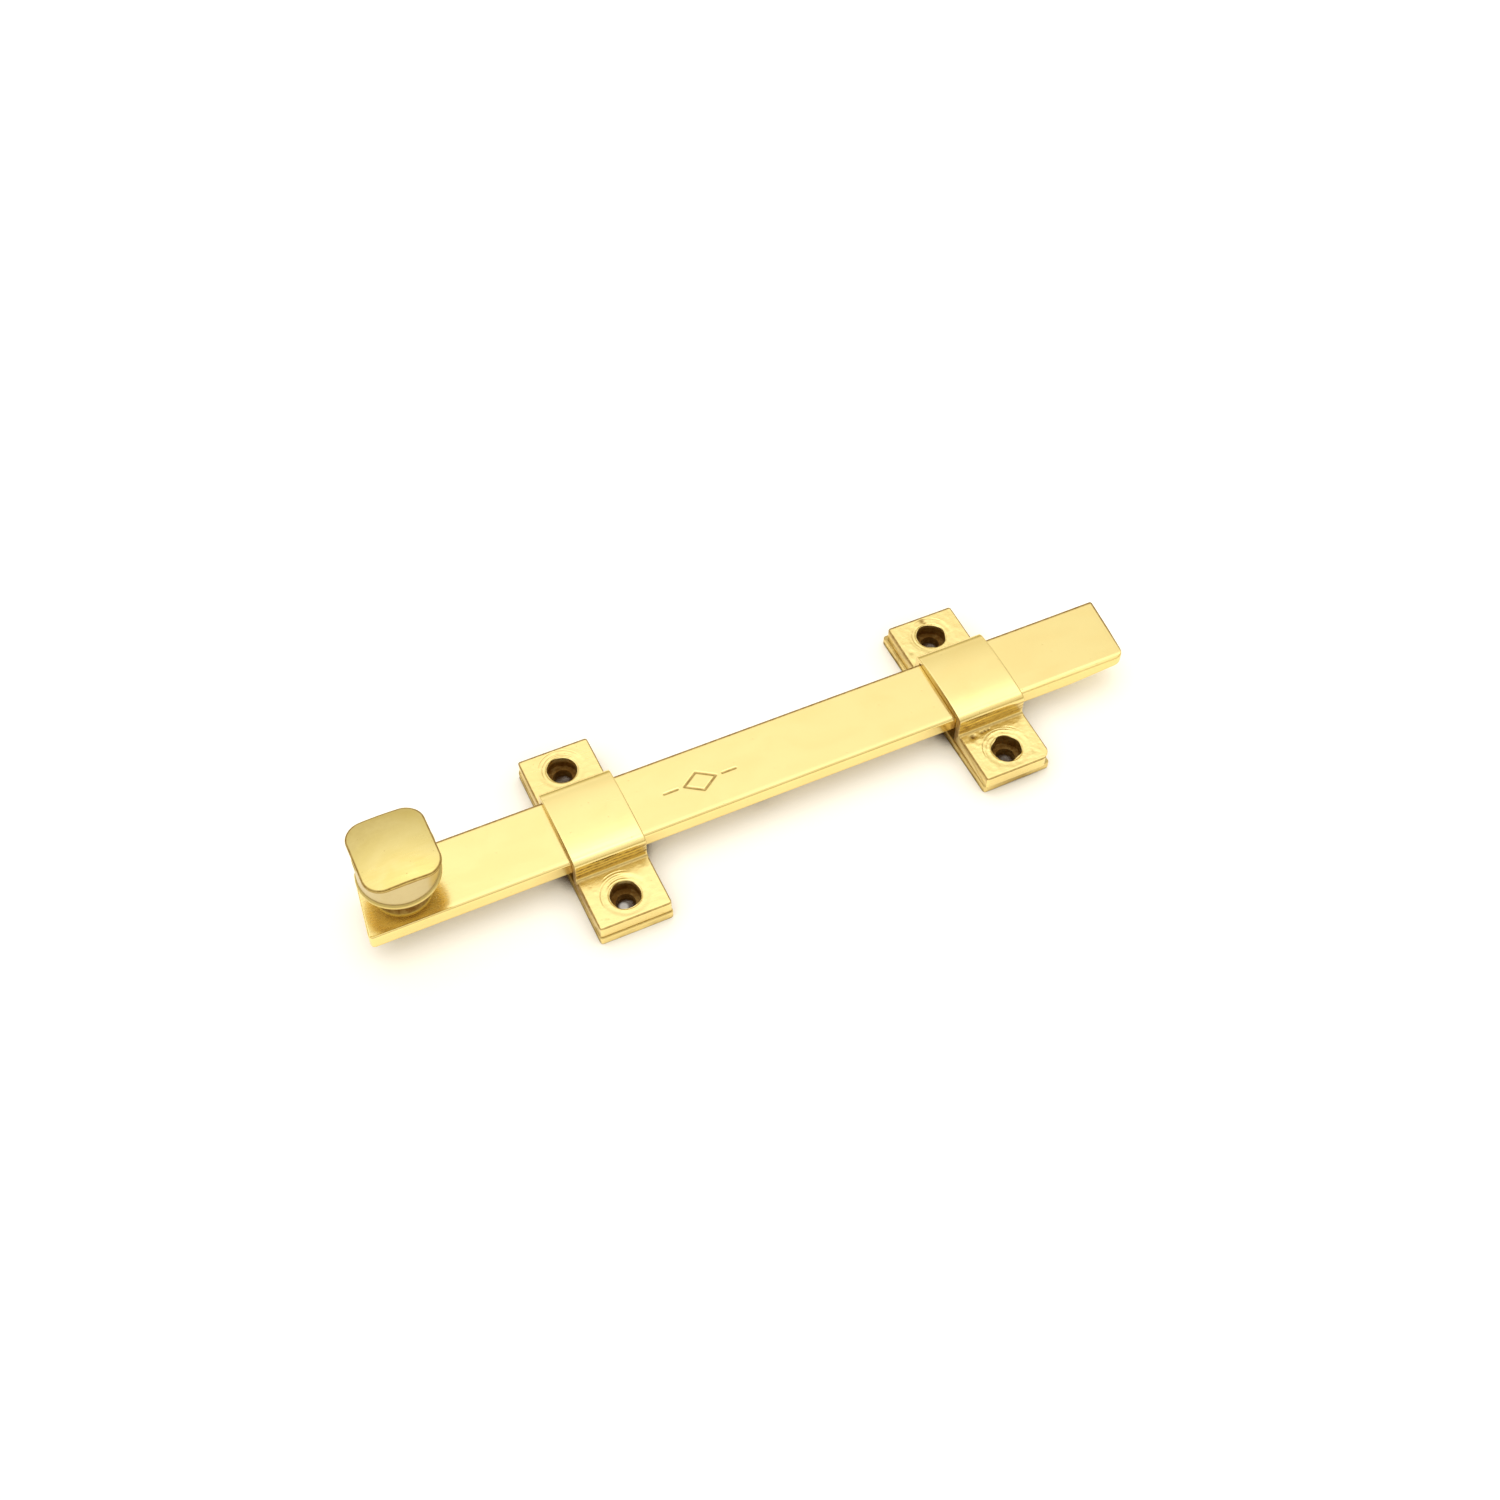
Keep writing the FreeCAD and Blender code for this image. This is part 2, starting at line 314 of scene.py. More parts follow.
PLATE_TOP_R = 0.22
PLATE_FLOOR_R = 0.15
PLATE_EDGE_R = 0.2
PLATE_MIDDLE_Y = 8.2
PLATE_SHIFT = {"rear": (0.0, -0.15), "front": (-0.2, 0.5)}
PLATE_ANGLE = {"rear": 0.0, "front": 0.6}
POCKET_HALF_X = 6.0
POCKET_HALF_Y = 4.8
POCKET_DEPTH = 0.7
POCKET_SLOPE = 0.12
PLATE_EDGE_WAVE = 0.04
PLATE_TOP_PATINA = 0.35
PLATE_FOOT_PATINA = 0.4


def both_halves(runs):
    """Closed YZ section from the runs of its far half; a label marks points inside a holed face."""
    half = []
    for label, points in runs:
        for i, point in enumerate(points):
            if half and math.dist(point, half[-1][0]) < 1e-6:
                continue
            inside = label if 0 < i < len(points) - 1 else ""
            half.append((point, inside))
    far = [(point, "far " + label if label else "") for point, label in half]
    near = [((-y, z), "near " + label if label else "") for (y, z), label in half]
    section = far + near[-2:0:-1]
    return [point for point, label in section], [label for point, label in section]


def strap_section():
    """Omega section of a strap, started at the middle of its top."""
    top_flat_y = LEG_OUTER_Y - STRAP_OUTER_R
    foot_y = LEG_OUTER_Y + FOOT_FILLET
    shoulder_z = STRAP_TOP_Z - STRAP_OUTER_R
    ear_end_y = GUIDE_HALF_SPAN - EAR_EDGE_R
    ear_floor_y = GUIDE_HALF_SPAN - EAR_FOOT_R
    leg_floor_y = CHANNEL_HALF + EAR_FOOT_R
    floor_arc_z = PLATE_TOP_Z + EAR_FOOT_R
    ceiling_y = CHANNEL_HALF - CEILING_R
    ceiling_z = CHANNEL_TOP_Z - CEILING_R
    return both_halves([
        ("", straight((0, STRAP_TOP_Z), (top_flat_y, STRAP_TOP_Z), 16)),
        ("", arc((top_flat_y, shoulder_z), STRAP_OUTER_R, 90, 0, 14)),
        ("", straight((LEG_OUTER_Y, shoulder_z), (LEG_OUTER_Y, EAR_TOP_Z + FOOT_FILLET), 20)),
        ("", arc((foot_y, EAR_TOP_Z + FOOT_FILLET), FOOT_FILLET, 180, 270, 7)),
        ("top", straight((foot_y, EAR_TOP_Z), (ear_end_y, EAR_TOP_Z), EAR_STEPS)),
        ("", arc((ear_end_y, EAR_TOP_Z - EAR_EDGE_R), EAR_EDGE_R, 90, 0, 6)),
        ("", straight((GUIDE_HALF_SPAN, EAR_TOP_Z - EAR_EDGE_R), (GUIDE_HALF_SPAN, floor_arc_z), 8)),
        ("", arc((ear_floor_y, floor_arc_z), EAR_FOOT_R, 0, -90, 4)),
        ("bottom", straight((ear_floor_y, PLATE_TOP_Z), (leg_floor_y, PLATE_TOP_Z), EAR_STEPS)),
        ("", arc((leg_floor_y, floor_arc_z), EAR_FOOT_R, 270, 180, 4)),
        ("", straight((CHANNEL_HALF, floor_arc_z), (CHANNEL_HALF, ceiling_z), 10)),
        ("", arc((ceiling_y, ceiling_z), CEILING_R, 0, 90, 4)),
        ("", straight((ceiling_y, CHANNEL_TOP_Z), (0, CHANNEL_TOP_Z), 16)),
    ])


def plate_section():
    """Flat section of a base plate, started at the middle of its top."""
    half_span = GUIDE_HALF_SPAN + PLATE_OVERHANG
    top_end_y = half_span - PLATE_TOP_R
    floor_end_y = half_span - PLATE_FLOOR_R
    return both_halves([
        ("", straight((0, PLATE_TOP_Z), (PLATE_MIDDLE_Y, PLATE_TOP_Z), 44)),
        ("top", straight((PLATE_MIDDLE_Y, PLATE_TOP_Z), (top_end_y, PLATE_TOP_Z), EAR_STEPS)),
        ("", arc((top_end_y, PLATE_TOP_Z - PLATE_TOP_R), PLATE_TOP_R, 90, 0, 5)),
        ("", straight((half_span, PLATE_TOP_Z - PLATE_TOP_R), (half_span, PLATE_FLOOR_R), 6)),
        ("", arc((floor_end_y, PLATE_FLOOR_R), PLATE_FLOOR_R, 0, -90, 4)),
        ("bottom", straight((floor_end_y, 0), (PLATE_MIDDLE_Y, 0), EAR_STEPS)),
        ("", straight((PLATE_MIDDLE_Y, 0), (0, 0), 20)),
    ])


def index_run(labels, label):
    """Section indexes across one holed face, with the point before and the point after."""
    inside = [i for i, other in enumerate(labels) if other == label]
    return [inside[0] - 1] + inside + [inside[-1] + 1]


def face_loop(grid, run, starts_at_foot):
    """Closed loop of vertices round a holed face, from its inner rear corner towards +X."""
    inner = [row[run[0]] for row in grid]
    outer = [row[run[-1]] for row in grid]
    front = [grid[-1][i] for i in run]
    rear = [grid[0][i] for i in run]
    if not starts_at_foot:
        inner, outer = outer, inner
        front.reverse()
        rear.reverse()
    return inner + front[1:] + outer[::-1][1:] + rear[::-1][1:-1]


def true_circle(side, dx, dy):
    """Outline factor of a drilled hole, which is the same in every direction."""
    return 1.0


def swept_shell(section, labels, half_width, edge_r, hole_r, hole_centres, outline):
    """Section swept along X around x = 0, its edges rounded, with one hole in each holed face."""
    shell = Shell()
    flat = half_width - edge_r
    grid = []
    for number, x in enumerate(spaced(-flat, flat, STATION_STEPS)):
        whole = number in (0, STATION_STEPS)
        grid.append([shell.add(x, y, z) if whole or not label else None
                     for (y, z), label in zip(section, labels)])
    for row, following in zip(grid, grid[1:]):
        for i in range(len(section)):
            j = (i + 1) % len(section)
            if not labels[i] and not labels[j]:
                shell.quad(row[i], row[j], following[j], following[i])
    shell.round_end(grid[0], section, -flat, REAR, edge_r)
    shell.round_end(grid[-1], section, flat, FRONT, edge_r)
    for side, name in ((FAR, "far"), (NEAR, "near")):
        add_hole(shell, grid, labels, name, side, hole_r, hole_centres[side], outline)
    return shell


def add_hole(shell, grid, labels, name, side, hole_r, centre, outline):
    """Fills one side's upper and lower face with rings and joins them by the hole's wall."""
    upper = face_loop(grid, index_run(labels, name + " top"), side == FAR)
    lower = face_loop(grid, index_run(labels, name + " bottom"), side == NEAR)
    rims = []
    for loop in (upper, lower):
        z = shell.points[loop[0]][2]
        circle = []
        for vertex in upper:
            dx = shell.points[vertex][0] - centre[0]
            dy = shell.points[vertex][1] - centre[1]
            length = math.hypot(dx, dy)
            radius = hole_r * outline(side, dx / length, dy / length)
            circle.append((centre[0] + radius * dx / length, centre[1] + radius * dy / length, z))
        rims.append(shell.rings_between(loop, circle, HOLE_RINGS))
    shell.rings_between(rims[0], [shell.points[v] for v in rims[1]], WALL_ROWS, last=rims[1])


def even_corners(radius):
    return {(side, end): radius for side in (NEAR, FAR) for end in (REAR, FRONT)}


def round_plan_corners(shell, half_width, half_span, corner_r):
    """Rounds the four corners in plan; corner_r gives the radius for each (side, end)."""
    for point in shell.points:
        side = FAR if point[1] > 0 else NEAR
        end = FRONT if point[0] > 0 else REAR
        radius = corner_r[(side, end)]
        along = abs(point[1]) - (half_span - radius)
        if along > 0:
            narrowing = radius - math.sqrt(max(0.0, radius ** 2 - along ** 2))
            point[0] *= 1 - narrowing / half_width


# --- guide straps ---

def bell(distance, width):
    return math.exp(-(distance / width) ** 2)


def ring_reach(x, y, first, last):
    """1 where a turning mark between two bearings round a hole is full, 0 outside it."""
    bearing = math.degrees(math.atan2(y, x)) % 360
    return smooth(first, first + 25, bearing) * (1 - smooth(last - 25, last, bearing))


def ear_relief(guide, side, x, y):
    """Height of an ear's cast surface above its flat, x measured from the guide's middle."""
    radius = math.hypot(x, y - side * HOLE_Y)
    height = -SPOT_FACE_DEPTH * (1 - smooth(SPOT_FACE_R - 0.5, SPOT_FACE_R + 0.4, radius))
    for ring_r, first, last, depth in EAR_RINGS[(guide, side)]:
        reach = ring_reach(x, y - side * HOLE_Y, first, last)
        height -= depth * reach * bell(radius - ring_r, 0.11)
        height += 0.5 * depth * reach * bell(radius - ring_r - 0.2, 0.13)
    rim = min(1.0, max(0.0, (radius - STRAP_HOLE_R) / RIM_WIDTH))
    height -= RIM_DROP * (1 - rim) ** 2
    roughness = EAR_ROUGHNESS[(guide, side)]
    seed = GUIDE_X[guide] + 7 * side
    height += roughness * soft_noise((x, y, 0), CAST_LUMP, seed)
    height += 0.5 * roughness * soft_noise((x, y, 0), CAST_GRAIN, seed)
    for dent_x, dent_y, dent_r, depth in EAR_DENTS[(guide, side)]:
        height -= depth * bell(math.hypot(x - dent_x, y - dent_y), dent_r)
    foot_y = LEG_OUTER_Y + FOOT_FILLET
    fade = smooth(foot_y, foot_y + 0.35, abs(y))
    fade *= 1 - smooth(GUIDE_HALF_SPAN - EAR_EDGE_R - 0.5, GUIDE_HALF_SPAN - EAR_EDGE_R, abs(y))
    return height * fade


def weather_strap(shell, guide):
    """Gives a strap its cast ears, slightly wavy walls and hand-filed top."""
    for point in shell.points:
        x, y, z = point
        side = FAR if y > 0 else NEAR
        on_ear = abs(y) > LEG_OUTER_Y + FOOT_FILLET
        if on_ear and z > EAR_TOP_Z - 0.01:
            point[2] += ear_relief(guide, side, x, y)
        elif on_ear and z > PLATE_TOP_Z + EAR_FOOT_R:
            seed = GUIDE_X[guide]
            point[0] -= WALL_WAVE * (1 + soft_noise((x, y, z), 2.4, seed)) * math.copysign(0.5, x)
            point[1] -= WALL_WAVE * (1 + soft_noise((y, x, z), 2.4, seed)) * side * 0.5
        elif z > STRAP_TOP_Z - STRAP_OUTER_R and abs(y) < LEG_OUTER_Y + 0.01:
            filed = 0.015 * (1 + soft_noise((x, y, 0), 7.0, GUIDE_X[guide]))
            crown = STRAP_CROWN * min(1.0, abs(y) / (LEG_OUTER_Y - STRAP_OUTER_R)) ** 3
            point[2] -= (filed + crown) * smooth(CHANNEL_TOP_Z + 0.2, STRAP_TOP_Z, z)


def strap_patina_and_shade(guide):
    """Where a strap is dark: patina in its foot line, seam, channel, dents and rings; patina and
    painted shade in its holes; painted shade on the faces across the bar and along its ear edges;
    painted reflection bands and streaks on its legs.
    """
    middle = GUIDE_X[guide]
    foot_y = LEG_OUTER_Y + FOOT_FILLET

    def amount(x, y, z):
        x -= middle
        side = FAR if y > 0 else NEAR
        radius = math.hypot(x, y - side * HOLE_Y)
        dark = 0.0
        # patina and painted shade: the hole wall is dark below a set depth
        if radius < STRAP_HOLE_R + RIM_WIDTH and abs(y) > foot_y:
            dark_z = EAR_TOP_Z - HOLE_PATINA_AND_SHADE_FROM[(guide, side)]
            dark = 1 - smooth(dark_z - 0.6, dark_z, z)
        if z < EAR_TOP_Z + FOOT_FILLET:
            dark = max(dark, FOOT_LINE_PATINA * bell(abs(y) - foot_y + 0.25, 0.30))
        above_seam = smooth(PLATE_TOP_Z + 0.02, PLATE_TOP_Z + 0.25, z)
        dark = max(dark, SEAM_PATINA * (1 - above_seam))
        on_bridge = abs(y) < LEG_OUTER_Y + 0.01
        if abs(y) < CHANNEL_HALF + 0.05 and z < CHANNEL_TOP_Z + 0.05:
            dark = max(dark, CHANNEL_PATINA)
        # painted shade: the rear face across the bar is darker than the front, and both darken
        # towards the near side
        elif on_bridge and abs(x) > GUIDE_HALF_WIDTH - 0.12:
            face = FACE_PAINTED_SHADE[REAR] if x < 0 else FACE_PAINTED_SHADE[FRONT]
            dark = max(dark, face * (0.2 + 0.8 * smooth(-5.0, 4.0, -y)))
        # painted reflection: dark streaks and bands on the legs
        elif on_bridge and abs(y) > LEG_OUTER_Y - 0.25 and z > EAR_TOP_Z + 0.3:
            streak = soft_noise((x * 0.15, z * 1.6, 0), 0.9, middle)
            dark = max(dark, LEG_STREAK_REFLECTION * streak)
            for band_z, band_r in LEG_REFLECTION_BANDS:
                wander = 0.25 * soft_noise((x, 0, band_z), 4.0, middle)
                strength = LEG_BAND_REFLECTION[guide] * (0.75 + 0.5 * soft_noise((x, z, 0), 0.8, middle))
                dark = max(dark, strength * bell(z - band_z - 0.03 * x - wander, band_r))
        # painted shade lines along the ears' top edges, darkest along the far edges
        if abs(y) > GUIDE_HALF_SPAN - EAR_EDGE_R and z > EAR_TOP_Z - EAR_EDGE_R:
            below = z - EAR_TOP_Z + EAR_SHADE_LINE_DROP[side]
            dark = max(dark, EAR_OUTLINE_SHADE * bell(below, 0.24))
        if y > foot_y and z > EAR_TOP_Z - 0.3:
            at_edge = smooth(GUIDE_HALF_SPAN - 0.60, GUIDE_HALF_SPAN - 0.35, y)
            dark = max(dark, FAR_OUTLINE_SHADE * at_edge)
        if abs(y) > foot_y and z > EAR_TOP_Z - 0.3:
            at_edge = smooth(GUIDE_HALF_WIDTH - 0.34, GUIDE_HALF_WIDTH - 0.18, abs(x))
            dark = max(dark, EAR_OUTLINE_SHADE * at_edge)
        if z > EAR_TOP_Z - 0.5:
            for dent_x, dent_y, dent_r, depth in EAR_DENTS[(guide, side)]:
                near_dent = bell(math.hypot(x - dent_x, y - dent_y), dent_r)
                dark = max(dark, min(1.0, 4 * depth) * near_dent)
            for ring_r, first, last, depth in EAR_RINGS[(guide, side)]:
                reach = ring_reach(x, y - side * HOLE_Y, first, last)
                dark = max(dark, RING_PATINA * reach * bell(radius - ring_r, 0.07))
        return dark

    return amount


def strap_satin(x, y, z):
    """Straps are polished over the bar and left satin, as cast, on their ears."""
    return smooth(LEG_OUTER_Y - 0.1, LEG_OUTER_Y + FOOT_FILLET, abs(y))


def ragged_circle(guide):
    """Factor on the screw hole's radius, by side and direction."""
    def factor(side, dx, dy):
        seed = GUIDE_X[guide] * 0.37 + side
        return 1 + HOLE_WOBBLE[(guide, side)] * soft_noise((dx, dy, 0), 0.8, seed) - 0.02

    return factor


def make_strap(guide):
    section, labels = strap_section()
    centres = {side: (0.0, side * HOLE_Y) for side in (NEAR, FAR)}
    shell = swept_shell(section, labels, GUIDE_HALF_WIDTH, STRAP_EDGE_R, STRAP_HOLE_R, centres,
                        ragged_circle(guide))
    corner_r = even_corners(EAR_CORNER_R)
    if guide == "front":
        corner_r[(NEAR, FRONT)] = WORN_CORNER_R
    round_plan_corners(shell, GUIDE_HALF_WIDTH, GUIDE_HALF_SPAN, corner_r)
    weather_strap(shell, guide)
    shell.move(GUIDE_X[guide], 0.0, 0.0)
    return build_object(guide + "_strap", shell, strap_patina_and_shade(guide), strap_satin)


# --- base plates ---

def make_base_plate(guide):
    """Flat plate under a strap, its outline a little askew to its screw holes."""
    half_width = GUIDE_HALF_WIDTH + PLATE_OVERHANG
    half_span = GUIDE_HALF_SPAN + PLATE_OVERHANG
    shift_x, shift_y = PLATE_SHIFT[guide]
    angle = math.radians(PLATE_ANGLE[guide])
    cosine = math.cos(angle)
    sine = math.sin(angle)
    centres = {side: (sine * side * HOLE_Y - shift_x, cosine * side * HOLE_Y - shift_y)
               for side in (NEAR, FAR)}
    section, labels = plate_section()
    shell = swept_shell(section, labels, half_width, PLATE_EDGE_R, PLATE_HOLE_R, centres, true_circle)
    corner_r = even_corners(EAR_CORNER_R)
    round_plan_corners(shell, half_width, half_span, corner_r)
    seed = GUIDE_X[guide]
    for point in shell.points:
        x, y, z = point
        if z > PLATE_TOP_Z - 0.01 and abs(y) < PLATE_MIDDLE_Y:
            inside = smooth(-POCKET_SLOPE, POCKET_SLOPE, POCKET_HALF_X - abs(x + shift_x))
            inside *= smooth(-POCKET_SLOPE, POCKET_SLOPE, POCKET_HALF_Y - abs(y + shift_y))
            point[2] -= POCKET_DEPTH * inside
        if abs(x) > half_width - PLATE_EDGE_R:
            point[0] -= math.copysign(PLATE_EDGE_WAVE * (1 + soft_noise((x, y, z), 1.8, seed)), x)
        if abs(y) > half_span - PLATE_EDGE_R:
            point[1] -= math.copysign(PLATE_EDGE_WAVE * (1 + soft_noise((y, x, z), 1.8, seed)), y)
        x = point[0] + shift_x
        y = point[1] + shift_y
        point[0] = GUIDE_X[guide] + cosine * x - sine * y
        point[1] = sine * x + cosine * y
    return build_object(guide + "_plate", shell, plate_patina_and_shade(guide), plate_satin)


def plate_satin(x, y, z):
    return 1.0


def plate_patina_and_shade(guide):
    middle = GUIDE_X[guide]

    def amount(x, y, z):
        side = FAR if y > 0 else NEAR
        radius = math.hypot(x - middle, y - side * HOLE_Y)
        # painted shade: the plate is dark under the strap's screw hole
        dark = 1 - smooth(STRAP_HOLE_R, STRAP_HOLE_R + 0.4, radius)
        dark = max(dark, PLATE_TOP_PATINA * smooth(PLATE_TOP_Z - 0.2, PLATE_TOP_Z - 0.02, z))
        return max(dark, PLATE_FOOT_PATINA * (1 - smooth(0.02, 0.2, z)))

    return amount


# --- the flat bar ---

BAR_TOP_EDGE_R = 0.40
BAR_FLOOR_EDGE_R = 0.30
BAR_END_R = 0.30
BAR_TOP_STEPS = 96
ORNAMENT_X = -17.2
ORNAMENT_Y = -0.3
LOZENGE_HALF_LENGTH = 3.1
LOZENGE_HALF_WIDTH = 2.1
STROKE_GAP = 4.4
STROKE_LENGTH = 2.6
RUBBED_WIDTH = 1.3
RUBBED_DEPTH = 0.05
RUBBED_TIP_DEPTH = 0.11
GROOVE_HALF_WIDTH = 0.28
GROOVE_DEPTH = 0.13
BAR_TOP_WAVE = 0.012
GROOVE_PATINA = 0.8
# painted shade on the bar: its underside, its far side and tip, and dark lines along their top edges
BAR_UNDERSIDE_SHADE = 0.5
BAR_SIDE_SHADE = 0.15
BAR_OUTLINE_SHADE = 0.80
BESIDE_KNOB_SATIN = 0.8
WORN_TIP_SATIN = 2.5


def bar_section():
    half = BAR_HALF_WIDTH
    top_y = half - BAR_TOP_EDGE_R
    floor_y = half - BAR_FLOOR_EDGE_R
    top_arc_z = BAR_TOP_Z - BAR_TOP_EDGE_R
    floor_arc_z = BAR_BOTTOM_Z + BAR_FLOOR_EDGE_R
    runs = [
        straight((-top_y, BAR_TOP_Z), (top_y, BAR_TOP_Z), BAR_TOP_STEPS),
        arc((top_y, top_arc_z), BAR_TOP_EDGE_R, 90, 0, 6)[1:],
        straight((half, top_arc_z), (half, floor_arc_z), 10)[1:],
        arc((floor_y, floor_arc_z), BAR_FLOOR_EDGE_R, 0, -90, 4)[1:],
        straight((floor_y, BAR_BOTTOM_Z), (-floor_y, BAR_BOTTOM_Z), 24)[1:],
        arc((-floor_y, floor_arc_z), BAR_FLOOR_EDGE_R, 270, 180, 4)[1:],
        straight((-half, floor_arc_z), (-half, top_arc_z), 10)[1:],
        arc((-top_y, top_arc_z), BAR_TOP_EDGE_R, 180, 90, 6)[1:-1],
    ]
    return [point for run in runs for point in run]


def ornament_strokes():
    """Plain lozenge with a short stroke at each side, as pairs of (x, y) ends."""
    left = (ORNAMENT_X - LOZENGE_HALF_LENGTH, ORNAMENT_Y)
    right = (ORNAMENT_X + LOZENGE_HALF_LENGTH, ORNAMENT_Y)
    upper = (ORNAMENT_X, ORNAMENT_Y + LOZENGE_HALF_WIDTH)
    lower = (ORNAMENT_X, ORNAMENT_Y - LOZENGE_HALF_WIDTH)
    strokes = [(left, upper), (upper, right), (right, lower), (lower, left)]
    for end in (REAR, FRONT):
        start_x = ORNAMENT_X + end * STROKE_GAP
        strokes.append(((start_x, ORNAMENT_Y), (start_x + end * STROKE_LENGTH, ORNAMENT_Y)))
    return strokes


def distance_to_stroke(x, y, stroke):
    start, end = Vector(stroke[0]), Vector(stroke[1])
    along = end - start
    share = (Vector((x, y)) - start).dot(along) / along.length_squared
    closest = start + along * min(1.0, max(0.0, share))
    return (Vector((x, y)) - closest).length


def groove_share(x, y, strokes):
    """1 in the middle of the engraved ornament's lines, 0 outside them."""
    if abs(x - ORNAMENT_X) > STROKE_GAP + STROKE_LENGTH + 1 or abs(y - ORNAMENT_Y) > 3:
        return 0.0
    distance = min(distance_to_stroke(x, y, stroke) for stroke in strokes)
    return 1 - smooth(0.08, GROOVE_HALF_WIDTH, distance)


def end_narrowing(distance, radius):
    """How much narrower one side is at this distance from an end with a round corner."""
    if distance >= radius:
        return 0.0
    return radius - math.sqrt(max(0.0, radius ** 2 - (radius - distance) ** 2))


def tip_lean(y):
    """How far back the hand-cut tip lies at this distance across the bar."""
    across = (y + BAR_HALF_WIDTH) / (2 * BAR_HALF_WIDTH)
    return -BAR_TIP_OUT_OF_SQUARE * (1 - across)


def place_on_bar(x, y, z):
    """Where a point of the straight square bar lies on the real, hand-cut one."""
    rear_distance = x - BAR_REAR_X
    tip_distance = BAR_TIP_X - x
    tip_r = BAR_WORN_CORNER_R if y < 0 else BAR_TIP_CORNER_R
    narrowing = end_narrowing(rear_distance, BAR_REAR_CORNER_R) + end_narrowing(tip_distance, tip_r)
    taper = max(0.0, 1 - tip_distance / TIP_TAPER_LENGTH)
    depth_share = (BAR_TOP_Z - z) / (BAR_TOP_Z - BAR_BOTTOM_Z)
    across = (y + BAR_HALF_WIDTH) / (2 * BAR_HALF_WIDTH)
    share = rear_distance / (BAR_TIP_X - BAR_REAR_X)
    rear_shear = BAR_REAR_OUT_OF_SQUARE * across
    return (x + rear_shear + (tip_lean(y) - rear_shear) * share,
            y * (1 - narrowing / BAR_HALF_WIDTH),
            z + TIP_TAPER_RISE * taper * depth_share)


def rubbed_edge(x, y):
    """How far polishing has taken down the near top edge, most of all towards the tip."""
    share = smooth(BAR_HALF_WIDTH - RUBBED_WIDTH, BAR_HALF_WIDTH, -y)
    return share * (RUBBED_DEPTH + RUBBED_TIP_DEPTH * smooth(30.0, BAR_TIP_X - 5.0, x))


def bar_stations():
    near_end = [0.04, 0.1, 0.2, 0.35, 0.55, 0.8, 1.1, 1.5, 2.0]
    rear = [BAR_REAR_X + BAR_END_R + d for d in [0.0] + near_end]
    tip = [BAR_TIP_X - BAR_END_R - d for d in [0.0] + near_end]
    ornament_half = STROKE_GAP + STROKE_LENGTH + 1
    middle = spaced(rear[-1], ORNAMENT_X - ornament_half, 55)[1:]
    middle += spaced(ORNAMENT_X - ornament_half, ORNAMENT_X + ornament_half, 130)[1:]
    middle += spaced(ORNAMENT_X + ornament_half, tip[-1], 75)[1:-1]
    return rear + middle + tip[::-1]


def make_bar():
    """Flat bar with round edges, hand-cut ends, a thinned tip and an engraved plain ornament."""
    shell = Shell()
    section = bar_section()
    rings = [shell.add_section(x, section) for x in bar_stations()]
    for ring, following in zip(rings, rings[1:]):
        shell.bridge(ring, following)
    shell.round_end(rings[0], section, BAR_REAR_X + BAR_END_R, REAR, BAR_END_R)
    shell.round_end(rings[-1], section, BAR_TIP_X - BAR_END_R, FRONT, BAR_END_R)
    strokes = ornament_strokes()
    for point in shell.points:
        x, y, z = place_on_bar(*point)
        if point[2] > BAR_TOP_Z - 0.001:
            z -= GROOVE_DEPTH * groove_share(x, y, strokes)
            z -= BAR_TOP_WAVE * (1 + soft_noise((x, y, 0), 9.0, 3.0))
            z -= rubbed_edge(x, y)
        point[:] = (x, y, z)

    def dark(x, y, z):
        groove = GROOVE_PATINA * groove_share(x, y, strokes) if z > BAR_TOP_Z - 0.3 else 0.0
        # painted shade: darker underside, darker far side and tip, and dark lines along their top
        # edges
        under = BAR_UNDERSIDE_SHADE * (1 - smooth(BAR_BOTTOM_Z + 0.1, BAR_BOTTOM_Z + 0.4, z))
        far_edge = smooth(BAR_HALF_WIDTH - 0.65, BAR_HALF_WIDTH - 0.40, y)
        tip_edge = smooth(-0.50, -0.25, x - BAR_TIP_X - tip_lean(y))
        on_top = smooth(BAR_TOP_Z - 0.5, BAR_TOP_Z - 0.25, z)
        outline = max(far_edge, tip_edge) * (BAR_SIDE_SHADE + BAR_OUTLINE_SHADE * on_top)
        return max(groove, under, outline)

    def rough(x, y, z):
        beside_knob = 1 - smooth(7.0, 10.0, math.hypot(x - KNOB_X, y))
        worn = smooth(35.0, 55.0, x) * smooth(BAR_HALF_WIDTH - 1.2, BAR_HALF_WIDTH - 0.5, -y)
        under = 1 - smooth(BAR_BOTTOM_Z, BAR_BOTTOM_Z + 0.3, z)
        return max(BESIDE_KNOB_SATIN * beside_knob, WORN_TIP_SATIN * worn, under)

    return build_object("flat_bar", shell, dark, rough)


# --- the knob ---

KNOB_POINTS = 288
CAP_RIM_R = 0.22
CAP_FOOT_R = 0.15
DRUM_RELIEF = 0.06      # the drum is this much slimmer between its cap and its bead
# painted shade on the knob: a dark line round the cap's wall, a dark outline round its top, a darker
# far side and a dark neck; the drum is painted darker and paler as a reflection
CAP_WALL_SHADE = 0.75
CAP_OUTLINE_SHADE = 0.8
CAP_FAR_SHADE = 0.22
BEAD_LINE_PATINA = 0.5
NECK_SHADE = 0.5
NECK_BAND_SHADE = 0.45
DRUM_REFLECTION_DARKNESS = 0.08
UNDER_KNOB_SATIN = 0.5


